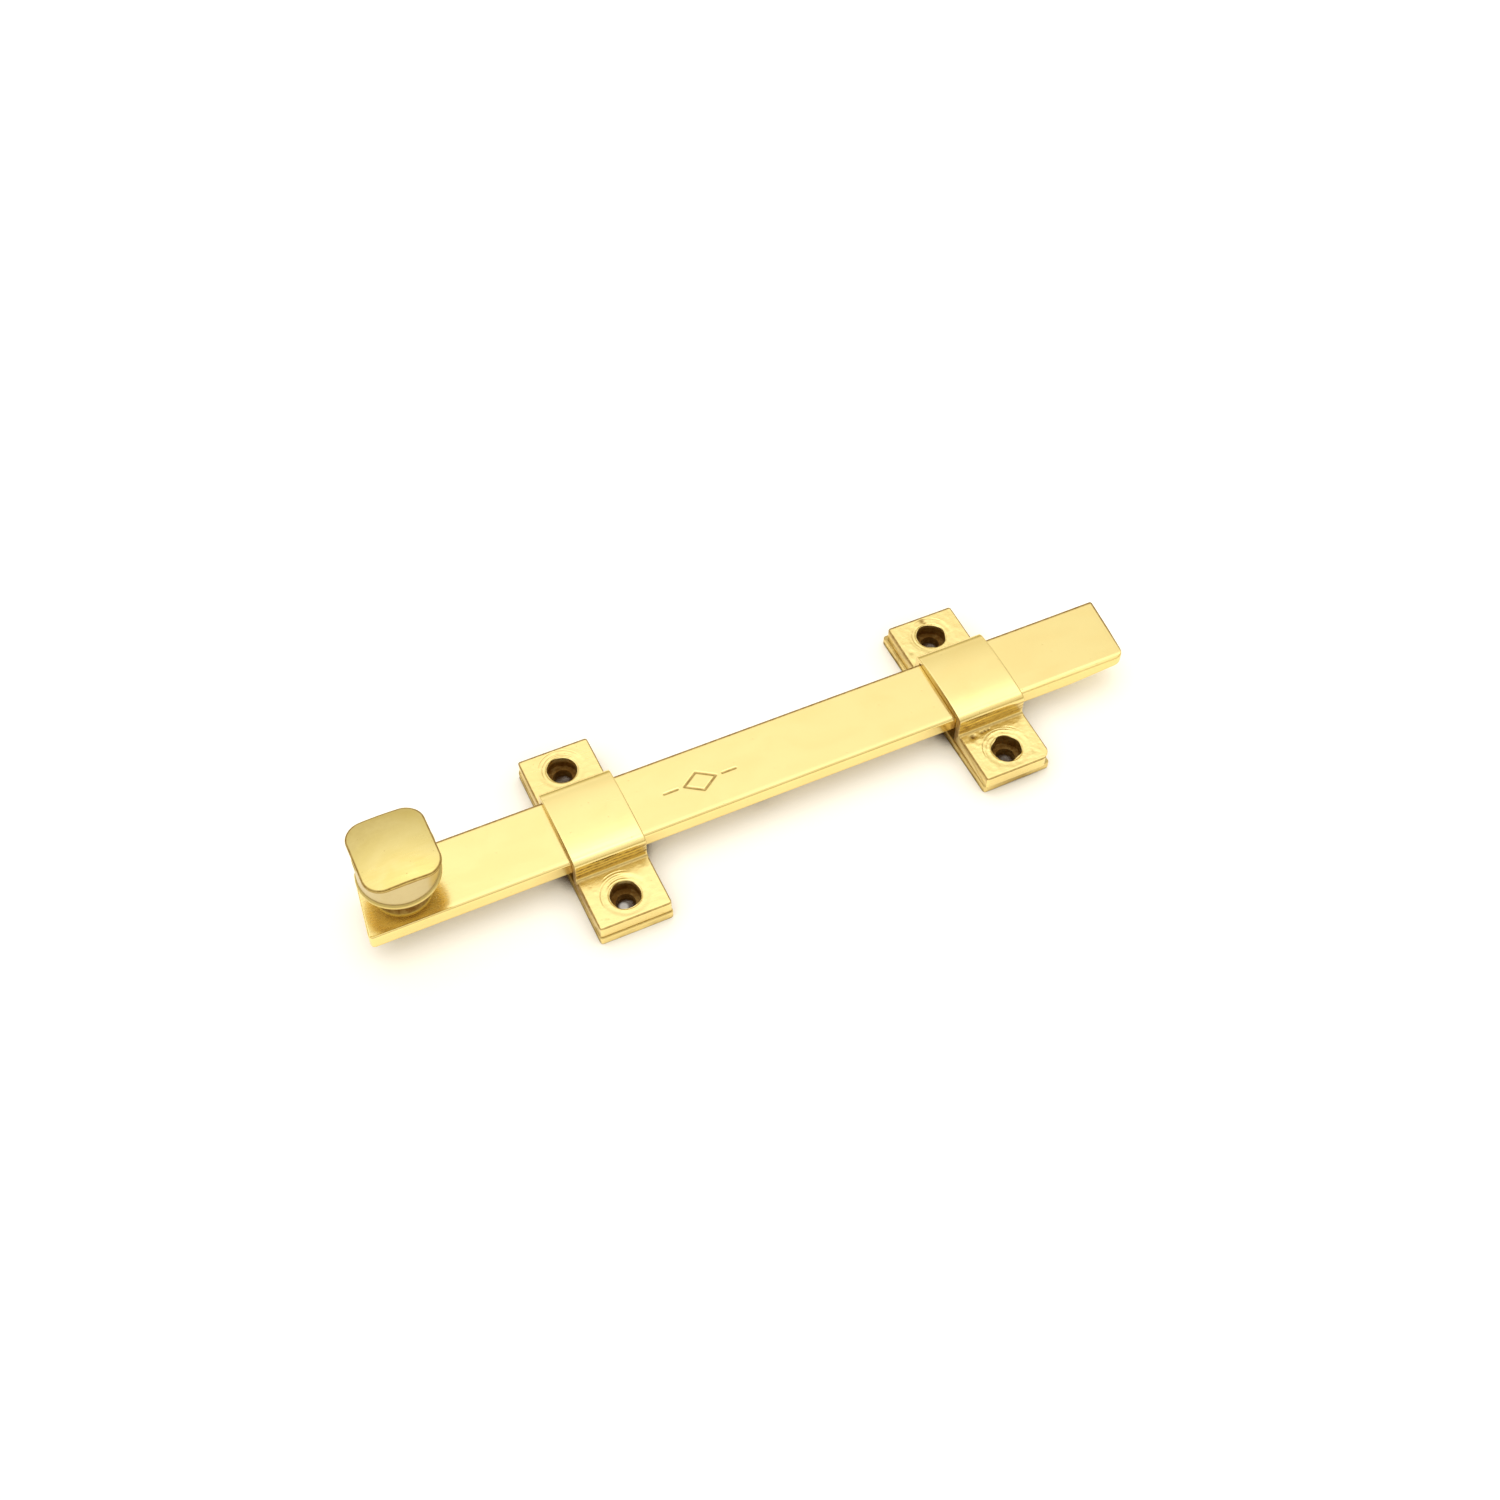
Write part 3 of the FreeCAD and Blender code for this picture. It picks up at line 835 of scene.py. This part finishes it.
def cap_outline(count):
    """Evenly spaced points round the cap's square with round corners, in the knob's own frame."""
    straight_x = CAP_HALF_X - CAP_CORNER_R
    straight_y = CAP_HALF_Y - CAP_CORNER_R
    quarter = math.pi / 2 * CAP_CORNER_R
    legs = [("line", (CAP_HALF_X, -straight_y), (0, 1), 2 * straight_y),
            ("turn", (straight_x, straight_y), 0, quarter),
            ("line", (straight_x, CAP_HALF_Y), (-1, 0), 2 * straight_x),
            ("turn", (-straight_x, straight_y), 90, quarter),
            ("line", (-CAP_HALF_X, straight_y), (0, -1), 2 * straight_y),
            ("turn", (-straight_x, -straight_y), 180, quarter),
            ("line", (-straight_x, -CAP_HALF_Y), (1, 0), 2 * straight_x),
            ("turn", (straight_x, -straight_y), 270, quarter)]
    total = sum(leg[3] for leg in legs)
    points = []
    for i in range(count):
        travel = total * i / count
        for kind, where, heading, length in legs:
            if travel <= length:
                break
            travel -= length
        if kind == "line":
            points.append((where[0] + heading[0] * travel, where[1] + heading[1] * travel))
        else:
            angle = math.radians(heading) + travel / CAP_CORNER_R
            points.append((where[0] + CAP_CORNER_R * math.cos(angle),
                           where[1] + CAP_CORNER_R * math.sin(angle)))
    return points


def depth_in_cap(x, y):
    """How far inside the cap's outline a point lies."""
    past_x = abs(x) - (CAP_HALF_X - CAP_CORNER_R)
    past_y = abs(y) - (CAP_HALF_Y - CAP_CORNER_R)
    outside = math.hypot(max(0.0, past_x), max(0.0, past_y))
    return CAP_CORNER_R - outside - min(0.0, max(past_x, past_y))


def dome_z(x, y):
    return CAP_CROWN_Z - (x * x + y * y) / (2 * CAP_DOME_R)


def drum_profile():
    """Radius and height down the turned part, from under the cap to the bar."""
    bead_mid_z = DRUM_BOTTOM_Z + BEAD_HEIGHT / 2
    bead_bulge = BEAD_R - DRUM_R
    profile = [(DRUM_R, CAP_UNDERSIDE_Z - 0.12), (DRUM_R - DRUM_RELIEF, CAP_UNDERSIDE_Z - 0.35)]
    for z in spaced(CAP_UNDERSIDE_Z - 0.7, DRUM_BOTTOM_Z + BEAD_HEIGHT + 0.35, 22):
        profile.append((DRUM_R - DRUM_RELIEF, z))
    profile.append((DRUM_R - 0.14, DRUM_BOTTOM_Z + BEAD_HEIGHT + 0.12))
    for degrees in spaced(80, -80, 10):
        angle = math.radians(degrees)
        profile.append((DRUM_R - 0.1 + (bead_bulge + 0.1) * math.cos(angle),
                        bead_mid_z + BEAD_HEIGHT / 2 * math.sin(angle)))
    for radius in spaced(DRUM_R - 0.2, UNDERCUT_R, 6):
        profile.append((radius, DRUM_BOTTOM_Z))
    neck_height = DRUM_BOTTOM_Z - BAR_TOP_Z
    for share in spaced(0.04, 0.96, 20):
        z = DRUM_BOTTOM_Z - neck_height * share
        upper = (UNDERCUT_R - NECK_R) * (1 - smooth(0.0, 0.45, share))
        lower = (NECK_FOOT_R - NECK_R) * smooth(0.65, 1.0, share)
        profile.append((NECK_R + upper + lower, z))
    profile.append((NECK_FOOT_R, BAR_TOP_Z))
    return profile


def make_knob():
    """Slightly domed square cap blended into a turned drum, bead and neck."""
    shell = Shell()
    outline = cap_outline(KNOB_POINTS)
    normals = inward_normals(outline)
    top = inset(outline, normals, CAP_RIM_R)
    rings = []
    for share in spaced(0.03, 1.0, 40):
        rings.append([(x * share, y * share, dome_z(x * share, y * share)) for x, y in top])
    for degrees in spaced(75, 0, 5):
        angle = math.radians(degrees)
        moved = inset(outline, normals, CAP_RIM_R * (1 - math.cos(angle)))
        drop = CAP_RIM_R * (1 - math.sin(angle))
        rings.append([(x, y, dome_z(x, y) - drop) for x, y in moved])
    for share in spaced(0.25, 1.0, 4):
        ring = []
        for x, y in outline:
            upper_z = dome_z(x, y) - CAP_RIM_R
            ring.append((x, y, upper_z + (CAP_UNDERSIDE_Z + CAP_FOOT_R - upper_z) * share))
        rings.append(ring)
    foot = inset(outline, normals, CAP_FOOT_R)
    rings.append([(x, y, CAP_UNDERSIDE_Z) for x, y in foot])
    directions = [(x / math.hypot(x, y), y / math.hypot(x, y)) for x, y in outline]
    for share in spaced(0.25, 1.0, 3):
        ring = []
        for (x, y), (dx, dy) in zip(foot, directions):
            ring.append((x + (DRUM_R * dx - x) * share, y + (DRUM_R * dy - y) * share,
                         CAP_UNDERSIDE_Z - 0.03 * share))
        rings.append(ring)
    for radius, z in drum_profile():
        rings.append([(radius * dx, radius * dy, z) for dx, dy in directions])
    previous = None
    for ring in rings:
        added = [shell.add(KNOB_X + x, y, z) for x, y, z in ring]
        if previous:
            shell.bridge(previous, added)
        else:
            shell.close(added)
        previous = added
    shell.close(previous)

    def dark(x, y, z):
        radius = math.hypot(x - KNOB_X, y)
        rim_z = dome_z(x - KNOB_X, y) - CAP_RIM_R
        rim = 0.0
        # painted shade: a dark line round the cap's wall, a dark outline round its top and a darker
        # far side
        if radius > CAP_HALF_X - 0.3:
            rim = CAP_WALL_SHADE * bell(z - (CAP_UNDERSIDE_Z + rim_z) / 2, 0.33)
        if z > rim_z + 0.5 * CAP_RIM_R:
            inside = smooth(CAP_RIM_R, CAP_RIM_R + 0.16, depth_in_cap(x - KNOB_X, y))
            far_share = smooth(-3.0, 9.0, y - 0.35 * (x - KNOB_X))
            rim = max(CAP_OUTLINE_SHADE * (1 - inside), CAP_FAR_SHADE * far_share)
        over_bead = BEAD_LINE_PATINA * bell(z - DRUM_BOTTOM_Z - BEAD_HEIGHT - 0.1, 0.15)
        # painted shade: the neck under the drum is dark
        in_neck = BAR_TOP_Z + 0.3 < z < DRUM_BOTTOM_Z - 0.1
        band = NECK_BAND_SHADE * bell(z - BAR_TOP_Z - 1.1, 1.0)
        neck = NECK_SHADE + band if in_neck else 0.0
        # painted reflection: the drum wall is a touch darker
        wall = DRUM_REFLECTION_DARKNESS if DRUM_BOTTOM_Z < z < CAP_UNDERSIDE_Z - 0.1 else 0.0
        return max(rim, over_bead, neck, wall)

    def rough(x, y, z):
        return UNDER_KNOB_SATIN if z < DRUM_BOTTOM_Z else 0.0

    # painted reflection: the drum wall between cap and bead is painted pale
    def drum_reflection_share(x, y, z):
        return 1.0 if DRUM_BOTTOM_Z + BEAD_HEIGHT < z < CAP_UNDERSIDE_Z - 0.1 else 0.0

    return build_object("square_knob", shell, dark, rough, drum_reflection_share)


# --- materials ---

METRE_TO_MM = 1000.0
PATINA_AND_SHADE_COLOUR = (0.270, 0.138, 0.028, 1.0)
PIT_DARKNESS = 0.35
PIT_DEPTH_MM = 0.03
SATIN_ROUGH = 0.10
BRIGHT_BRASS = (0.935, 0.760, 0.320, 1.0)
DEEP_BRASS = (0.925, 0.735, 0.300, 1.0)
# paler brass painted on the knob's drum as a reflection
DRUM_REFLECTION_BRASS = (0.640, 0.540, 0.290, 1.0)
KNOB_BRASS = (0.740, 0.605, 0.240, 1.0)
KNOB_DEEP_BRASS = (0.700, 0.560, 0.190, 1.0)
DULL_BRASS = (0.560, 0.400, 0.130, 1.0)
BRONZE = (0.480, 0.270, 0.110, 1.0)
DARK_BRONZE = (0.360, 0.190, 0.070, 1.0)
TARNISH_ROUGH = 0.35


def new_node(tree, kind, **values):
    """Node with its sockets set by name; an underscore stands for a space."""
    node = tree.nodes.new(kind)
    for name, value in values.items():
        node.inputs[name.replace("_", " ")].default_value = value
    return node


def smooth_range(tree, value, low, high, to_low, to_high):
    """Smooth change from one level to another as a value goes from low to high."""
    node = new_node(tree, "ShaderNodeMapRange", From_Min=low, From_Max=high, To_Min=to_low,
                    To_Max=to_high)
    node.interpolation_type = "SMOOTHSTEP"
    tree.links.new(value, node.inputs["Value"])
    return node.outputs["Result"]


class Graph:
    """Short names for building a material's node tree."""

    def __init__(self, name):
        self.material = bpy.data.materials.new(name)
        self.material.use_nodes = True
        self.tree = self.material.node_tree
        self.tree.nodes.clear()
        output = self.tree.nodes.new("ShaderNodeOutputMaterial")
        self.shader = self.tree.nodes.new("ShaderNodeBsdfPrincipled")
        self.tree.links.new(self.shader.outputs["BSDF"], output.inputs["Surface"])
        self.place = self.tree.nodes.new("ShaderNodeTexCoord").outputs["Object"]

    def link(self, source, target):
        self.tree.links.new(source, target)

    def feed(self, sockets, values):
        """Gives each socket its constant, or the output that it follows."""
        for socket, value in zip(sockets, values):
            if isinstance(value, (float, tuple)):
                socket.default_value = value
            else:
                self.link(value, socket)

    def shade(self, socket, value):
        self.feed([self.shader.inputs[socket]], [value])

    def stretched(self, along, across, up):
        """Object coordinates in millimetres, scaled separately along each axis."""
        node = self.tree.nodes.new("ShaderNodeMapping")
        scale = (along * METRE_TO_MM, across * METRE_TO_MM, up * METRE_TO_MM)
        node.inputs["Scale"].default_value = scale
        self.link(self.place, node.inputs["Vector"])
        return node.outputs["Vector"]

    def noise(self, vector, scale, detail=3.0, roughness=0.5, distortion=0.0):
        node = new_node(self.tree, "ShaderNodeTexNoise", Scale=scale, Detail=detail,
                        Roughness=roughness, Distortion=distortion)
        self.link(vector, node.inputs["Vector"])
        return node.outputs["Fac"]

    def cells(self, vector, scale):
        node = new_node(self.tree, "ShaderNodeTexVoronoi", Scale=scale)
        self.link(vector, node.inputs["Vector"])
        return node.outputs["Distance"]

    def remap(self, value, low, high, to_low, to_high):
        return smooth_range(self.tree, value, low, high, to_low, to_high)

    def math(self, operation, first, second):
        node = self.tree.nodes.new("ShaderNodeMath")
        node.operation = operation
        node.use_clamp = operation != "MULTIPLY"
        self.feed(node.inputs, (first, second))
        return node.outputs["Value"]

    def mix(self, factor, first, second):
        node = self.tree.nodes.new("ShaderNodeMix")
        node.data_type = "RGBA"
        colour_inputs = [s for s in node.inputs if s.type == "RGBA"]
        self.link(factor, node.inputs["Factor"])
        self.feed(colour_inputs, (first, second))
        return [s for s in node.outputs if s.type == "RGBA"][0]

    def attribute(self, name):
        node = self.tree.nodes.new("ShaderNodeAttribute")
        node.attribute_name = name
        return node.outputs["Fac"]

    def bump(self, height, distance_mm, strength, under=None):
        node = new_node(self.tree, "ShaderNodeBump", Strength=strength, Distance=distance_mm * MM)
        self.link(height, node.inputs["Height"])
        if under:
            self.link(under, node.inputs["Normal"])
        return node.outputs["Normal"]


def brass(name, bright, deep, rough_low, rough_high, brush_mm, pebble_mm):
    """Solid brass: two tones in soft clouds, lengthwise polishing marks, pits, dark patina and
    painted shade, and a painted pale reflection.
    """
    graph = Graph(name)
    even = graph.stretched(1.0, 1.0, 1.0)
    lengthwise = graph.stretched(0.06, 3.2, 3.2)
    slightly_long = graph.stretched(0.6, 1.0, 1.0)
    clouds = graph.noise(slightly_long, scale=0.16, detail=4.0, roughness=0.55, distortion=0.6)
    marks = graph.noise(lengthwise, scale=1.0, detail=5.0, roughness=0.65)
    pebbles = graph.noise(even, scale=1.7, detail=4.0, roughness=0.6)
    pits = graph.remap(graph.cells(even, scale=0.55), 0.02, 0.09, 1.0, 0.0)
    patches = graph.noise(even, scale=0.9, detail=5.0, roughness=0.7)
    ragged = graph.remap(patches, 0.25, 0.75, 0.72, 1.15)
    # patina and painted shade from the mesh darken the colour
    patina_and_shade = graph.math("MULTIPLY", graph.attribute("patina_and_shade"), ragged)
    dark = graph.math("MAXIMUM", patina_and_shade, graph.math("MULTIPLY", pits, PIT_DARKNESS))
    body = graph.mix(graph.remap(clouds, 0.35, 0.68, 0.0, 1.0), bright, deep)
    # painted reflection: where the pale attribute is set, paler brass is mixed in
    body = graph.mix(graph.attribute("pale"), body, DRUM_REFLECTION_BRASS)
    graph.shade("Base Color", graph.mix(dark, body, PATINA_AND_SHADE_COLOUR))
    polish = graph.remap(marks, 0.3, 0.75, rough_low, rough_high)
    polish = graph.math("ADD", polish, graph.math("MULTIPLY", graph.attribute("satin"), SATIN_ROUGH))
    tarnish_rough = graph.math("MULTIPLY", dark, TARNISH_ROUGH)
    graph.shade("Roughness", graph.math("ADD", polish, tarnish_rough))
    brushed = graph.bump(marks, brush_mm, strength=0.5)
    grained = graph.bump(pebbles, pebble_mm, strength=0.6, under=brushed)
    pitted = graph.bump(pits, -PIT_DEPTH_MM, strength=0.5, under=grained)
    graph.shade("Normal", pitted)
    graph.shade("Metallic", 1.0)
    return graph.material


# --- floor ---

FLOOR_REACH_M = 3.0
DAYLIGHT_X = -38.3
DAYLIGHT_Y = -14.3
FLOOR_GLOW = 0.66
FLOOR_SHADE_REACH_M = 0.007
FLOOR_COLOUR = (0.64, 0.65, 0.67, 1.0)
FLOOR_COLOUR_PALE = (0.66, 0.67, 0.69, 1.0)
# dark colour painted on the floor as shade where ambient occlusion is deep
FLOOR_SHADE_COLOUR = (0.08, 0.04, 0.012, 1.0)
FLOOR_GLOW_COLOUR = (1.0, 0.90, 0.72, 1.0)
# ambient occlusion at which the floor turns from its dark painted shade colour to its own colour
FLOOR_FULL_SHADE_AO = 0.30
FLOOR_NO_SHADE_AO = 0.46
# a patch of daylight painted where the photo shows the lit table through one screw hole
DAYLIGHT_CORE_R = 0.5
DAYLIGHT_R = 1.1
DAYLIGHT_SHARE = 0.9


def daylight_spot(graph):
    """How much of the painted daylight patch there is at a point on the floor."""
    offset = graph.tree.nodes.new("ShaderNodeVectorMath")
    offset.operation = "DISTANCE"
    offset.inputs[1].default_value = (DAYLIGHT_X * MM, DAYLIGHT_Y * MM, 0.0)
    graph.link(graph.place, offset.inputs[0])
    distance = offset.outputs["Value"]
    return graph.remap(distance, DAYLIGHT_CORE_R * MM, DAYLIGHT_R * MM, DAYLIGHT_SHARE, 0.0)


def make_floor():
    """Plain pale table top, faintly mottled, with a glow dimmed as painted shade where the part
    shades it, and a dark painted shade colour where the shade is deepest.
    """
    mesh = bpy.data.meshes.new("floor")
    reach = FLOOR_REACH_M
    corners = [(-reach, -reach, 0), (reach, -reach, 0), (reach, reach, 0), (-reach, reach, 0)]
    mesh.from_pydata(corners, [], [(0, 1, 2, 3)])
    floor = bpy.data.objects.new("floor", mesh)
    bpy.context.scene.collection.objects.link(floor)
    graph = Graph("floor_paper")
    fibres = graph.noise(graph.stretched(1.0, 1.0, 1.0), scale=1.5)
    colour = graph.mix(fibres, FLOOR_COLOUR, FLOOR_COLOUR_PALE)
    shade = graph.tree.nodes.new("ShaderNodeAmbientOcclusion")
    shade.inputs["Distance"].default_value = FLOOR_SHADE_REACH_M
    # painted shade: the colour turns dark where occlusion is deep
    unshaded_share = graph.remap(shade.outputs["AO"], FLOOR_FULL_SHADE_AO, FLOOR_NO_SHADE_AO, 0.0, 1.0)
    unshaded_share = graph.math("MAXIMUM", unshaded_share, daylight_spot(graph))
    colour = graph.mix(unshaded_share, FLOOR_SHADE_COLOUR, colour)
    graph.shade("Base Color", colour)
    graph.shade("Roughness", 0.9)
    graph.shade("Specular IOR Level", 0.0)
    graph.shade("Emission Color", FLOOR_GLOW_COLOUR)
    # painted shade: the glow is dimmed by ambient occlusion
    glow = graph.math("MULTIPLY", shade.outputs["AO"], FLOOR_GLOW)
    glow = graph.math("MULTIPLY", glow, unshaded_share)
    graph.shade("Emission Strength", glow)
    mesh.materials.append(graph.material)


# --- light: a studio dome, brightest overhead, with a dim warm ring and a pale horizon ---
# The levels were set by colour samples, so that the brass looks as in the photo.
DOME_BRIGHT_DIRECTION = (-0.10, 0.25, 0.96)
DOME_STRENGTH = 1.60
# cosine of the angle from the brightest direction, the light there, and how warm it is
DOME_FALLOFF = ((0.0, 0.64, 0.2), (0.18, 0.58, 0.3), (0.33, 0.31, 1.0), (0.46, 0.33, 1.0),
                (0.60, 0.53, 0.6), (0.775, 0.61, 0.2), (0.845, 0.69, 0.0), (0.92, 0.76, 0.0),
                (0.965, 0.90, 0.0), (1.0, 1.0, 0.0))
PANEL_DIRECTION = (0.30, 0.12, 0.945)
PANEL_EDGE = (0.93, 0.99)
PANEL_GAIN = 0.55
WARM_LOSS_GREEN = 0.13
WARM_LOSS_BLUE = 0.48


def cosine_towards(tree, place, direction):
    """Cosine of the angle between a point of the dome and a direction."""
    node = tree.nodes.new("ShaderNodeVectorMath")
    node.operation = "DOT_PRODUCT"
    node.inputs[1].default_value = Vector(direction).normalized()
    tree.links.new(place, node.inputs[0])
    return node.outputs["Value"]


def make_dome():
    """Soft dome whose light depends on the angle from two directions: its crown and a panel."""
    world = bpy.data.worlds.new("studio_dome")
    bpy.context.scene.world = world
    world.use_nodes = True
    tree = world.node_tree
    links = tree.links
    tree.nodes.clear()
    output = tree.nodes.new("ShaderNodeOutputWorld")
    background = tree.nodes.new("ShaderNodeBackground")
    place = tree.nodes.new("ShaderNodeTexCoord").outputs["Generated"]
    falloff = tree.nodes.new("ShaderNodeValToRGB")
    stops = falloff.color_ramp.elements
    while len(stops) < len(DOME_FALLOFF):
        stops.new(0.5)
    for stop, (position, level, warmth) in zip(stops, DOME_FALLOFF):
        green = level * (1 - WARM_LOSS_GREEN * warmth)
        blue = level * (1 - WARM_LOSS_BLUE * warmth)
        stop.position = position
        stop.color = (level, green, blue, 1.0)
    links.new(cosine_towards(tree, place, DOME_BRIGHT_DIRECTION), falloff.inputs["Fac"])
    links.new(falloff.outputs["Color"], background.inputs["Color"])
    toward_panel = cosine_towards(tree, place, PANEL_DIRECTION)
    strength = smooth_range(tree, toward_panel, PANEL_EDGE[0], PANEL_EDGE[1], DOME_STRENGTH,
                            DOME_STRENGTH * (1 + PANEL_GAIN))
    links.new(strength, background.inputs["Strength"])
    links.new(background.outputs["Background"], output.inputs["Surface"])


def make_camera():
    """Camera at the photograph's angle, rolled about its own axis."""
    azimuth = math.radians(CAMERA_AZIMUTH)
    elevation = math.radians(CAMERA_ELEVATION)
    roll = math.radians(CAMERA_ROLL)
    back = Vector((math.sin(azimuth) * math.cos(elevation),
                   -math.cos(azimuth) * math.cos(elevation), math.sin(elevation)))
    level_right = Vector((math.cos(azimuth), math.sin(azimuth), 0.0))
    level_up = back.cross(level_right)
    right = math.cos(roll) * level_right + math.sin(roll) * level_up
    up = back.cross(right)
    place = (CAMERA_TARGET + back * CAMERA_DISTANCE) * MM
    data = bpy.data.cameras.new("photo_camera")
    data.lens = CAMERA_LENS
    data.sensor_width = CAMERA_SENSOR
    data.clip_start = 0.01
    camera = bpy.data.objects.new("photo_camera", data)
    rotation = Matrix((right, up, back)).transposed().to_4x4()
    camera.matrix_world = Matrix.Translation(place) @ rotation
    bpy.context.scene.collection.objects.link(camera)
    bpy.context.scene.camera = camera


def dress(piece, body, node, material):
    """Puts a detailed piece in a CAD node's place."""
    piece.data.materials.append(material)
    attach(piece, body)
    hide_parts(node)


def repaint(node, material):
    """Gives a CAD node that stays its own procedural material."""
    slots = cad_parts[node].material_slots
    for slot in slots:
        slot.material = material
    if not slots:
        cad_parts[node].data.materials.append(material)


# two tones, lowest and highest roughness, height of the brushing and of the grain in mm
FINISHES = {
    "bar_brass": (BRIGHT_BRASS, DEEP_BRASS, 0.13, 0.24, 0.004, 0.001),
    "strap_brass": (BRIGHT_BRASS, DEEP_BRASS, 0.15, 0.28, 0.004, 0.013),
    "plate_brass": (BRIGHT_BRASS, DULL_BRASS, 0.25, 0.40, 0.004, 0.030),
    "knob_brass": (KNOB_BRASS, KNOB_DEEP_BRASS, 0.26, 0.38, 0.003, 0.002),
    "fastener_brass": (BRIGHT_BRASS, DULL_BRASS, 0.22, 0.36, 0.003, 0.004),
    "spring_bronze": (BRONZE, DARK_BRONZE, 0.28, 0.42, 0.004, 0.003),
}


def main():
    finish = {name: brass(name, *look) for name, look in FINISHES.items()}
    dress(make_bar(), "bolt", "bolt_bar", finish["bar_brass"])
    dress(make_knob(), "bolt", "knob", finish["knob_brass"])
    for guide in GUIDE_X:
        dress(make_strap(guide), "guides", guide + "_guide_strap",
              finish["strap_brass"])
        dress(make_base_plate(guide), "guides", guide + "_base_plate",
              finish["plate_brass"])
        repaint(guide + "_bow_spring", finish["spring_bronze"])
    repaint("knob_screw", finish["fastener_brass"])
    repaint("stop_pin", finish["fastener_brass"])

    make_floor()
    make_dome()
    make_camera()
    bpy.context.scene.view_settings.view_transform = "Standard"


main()
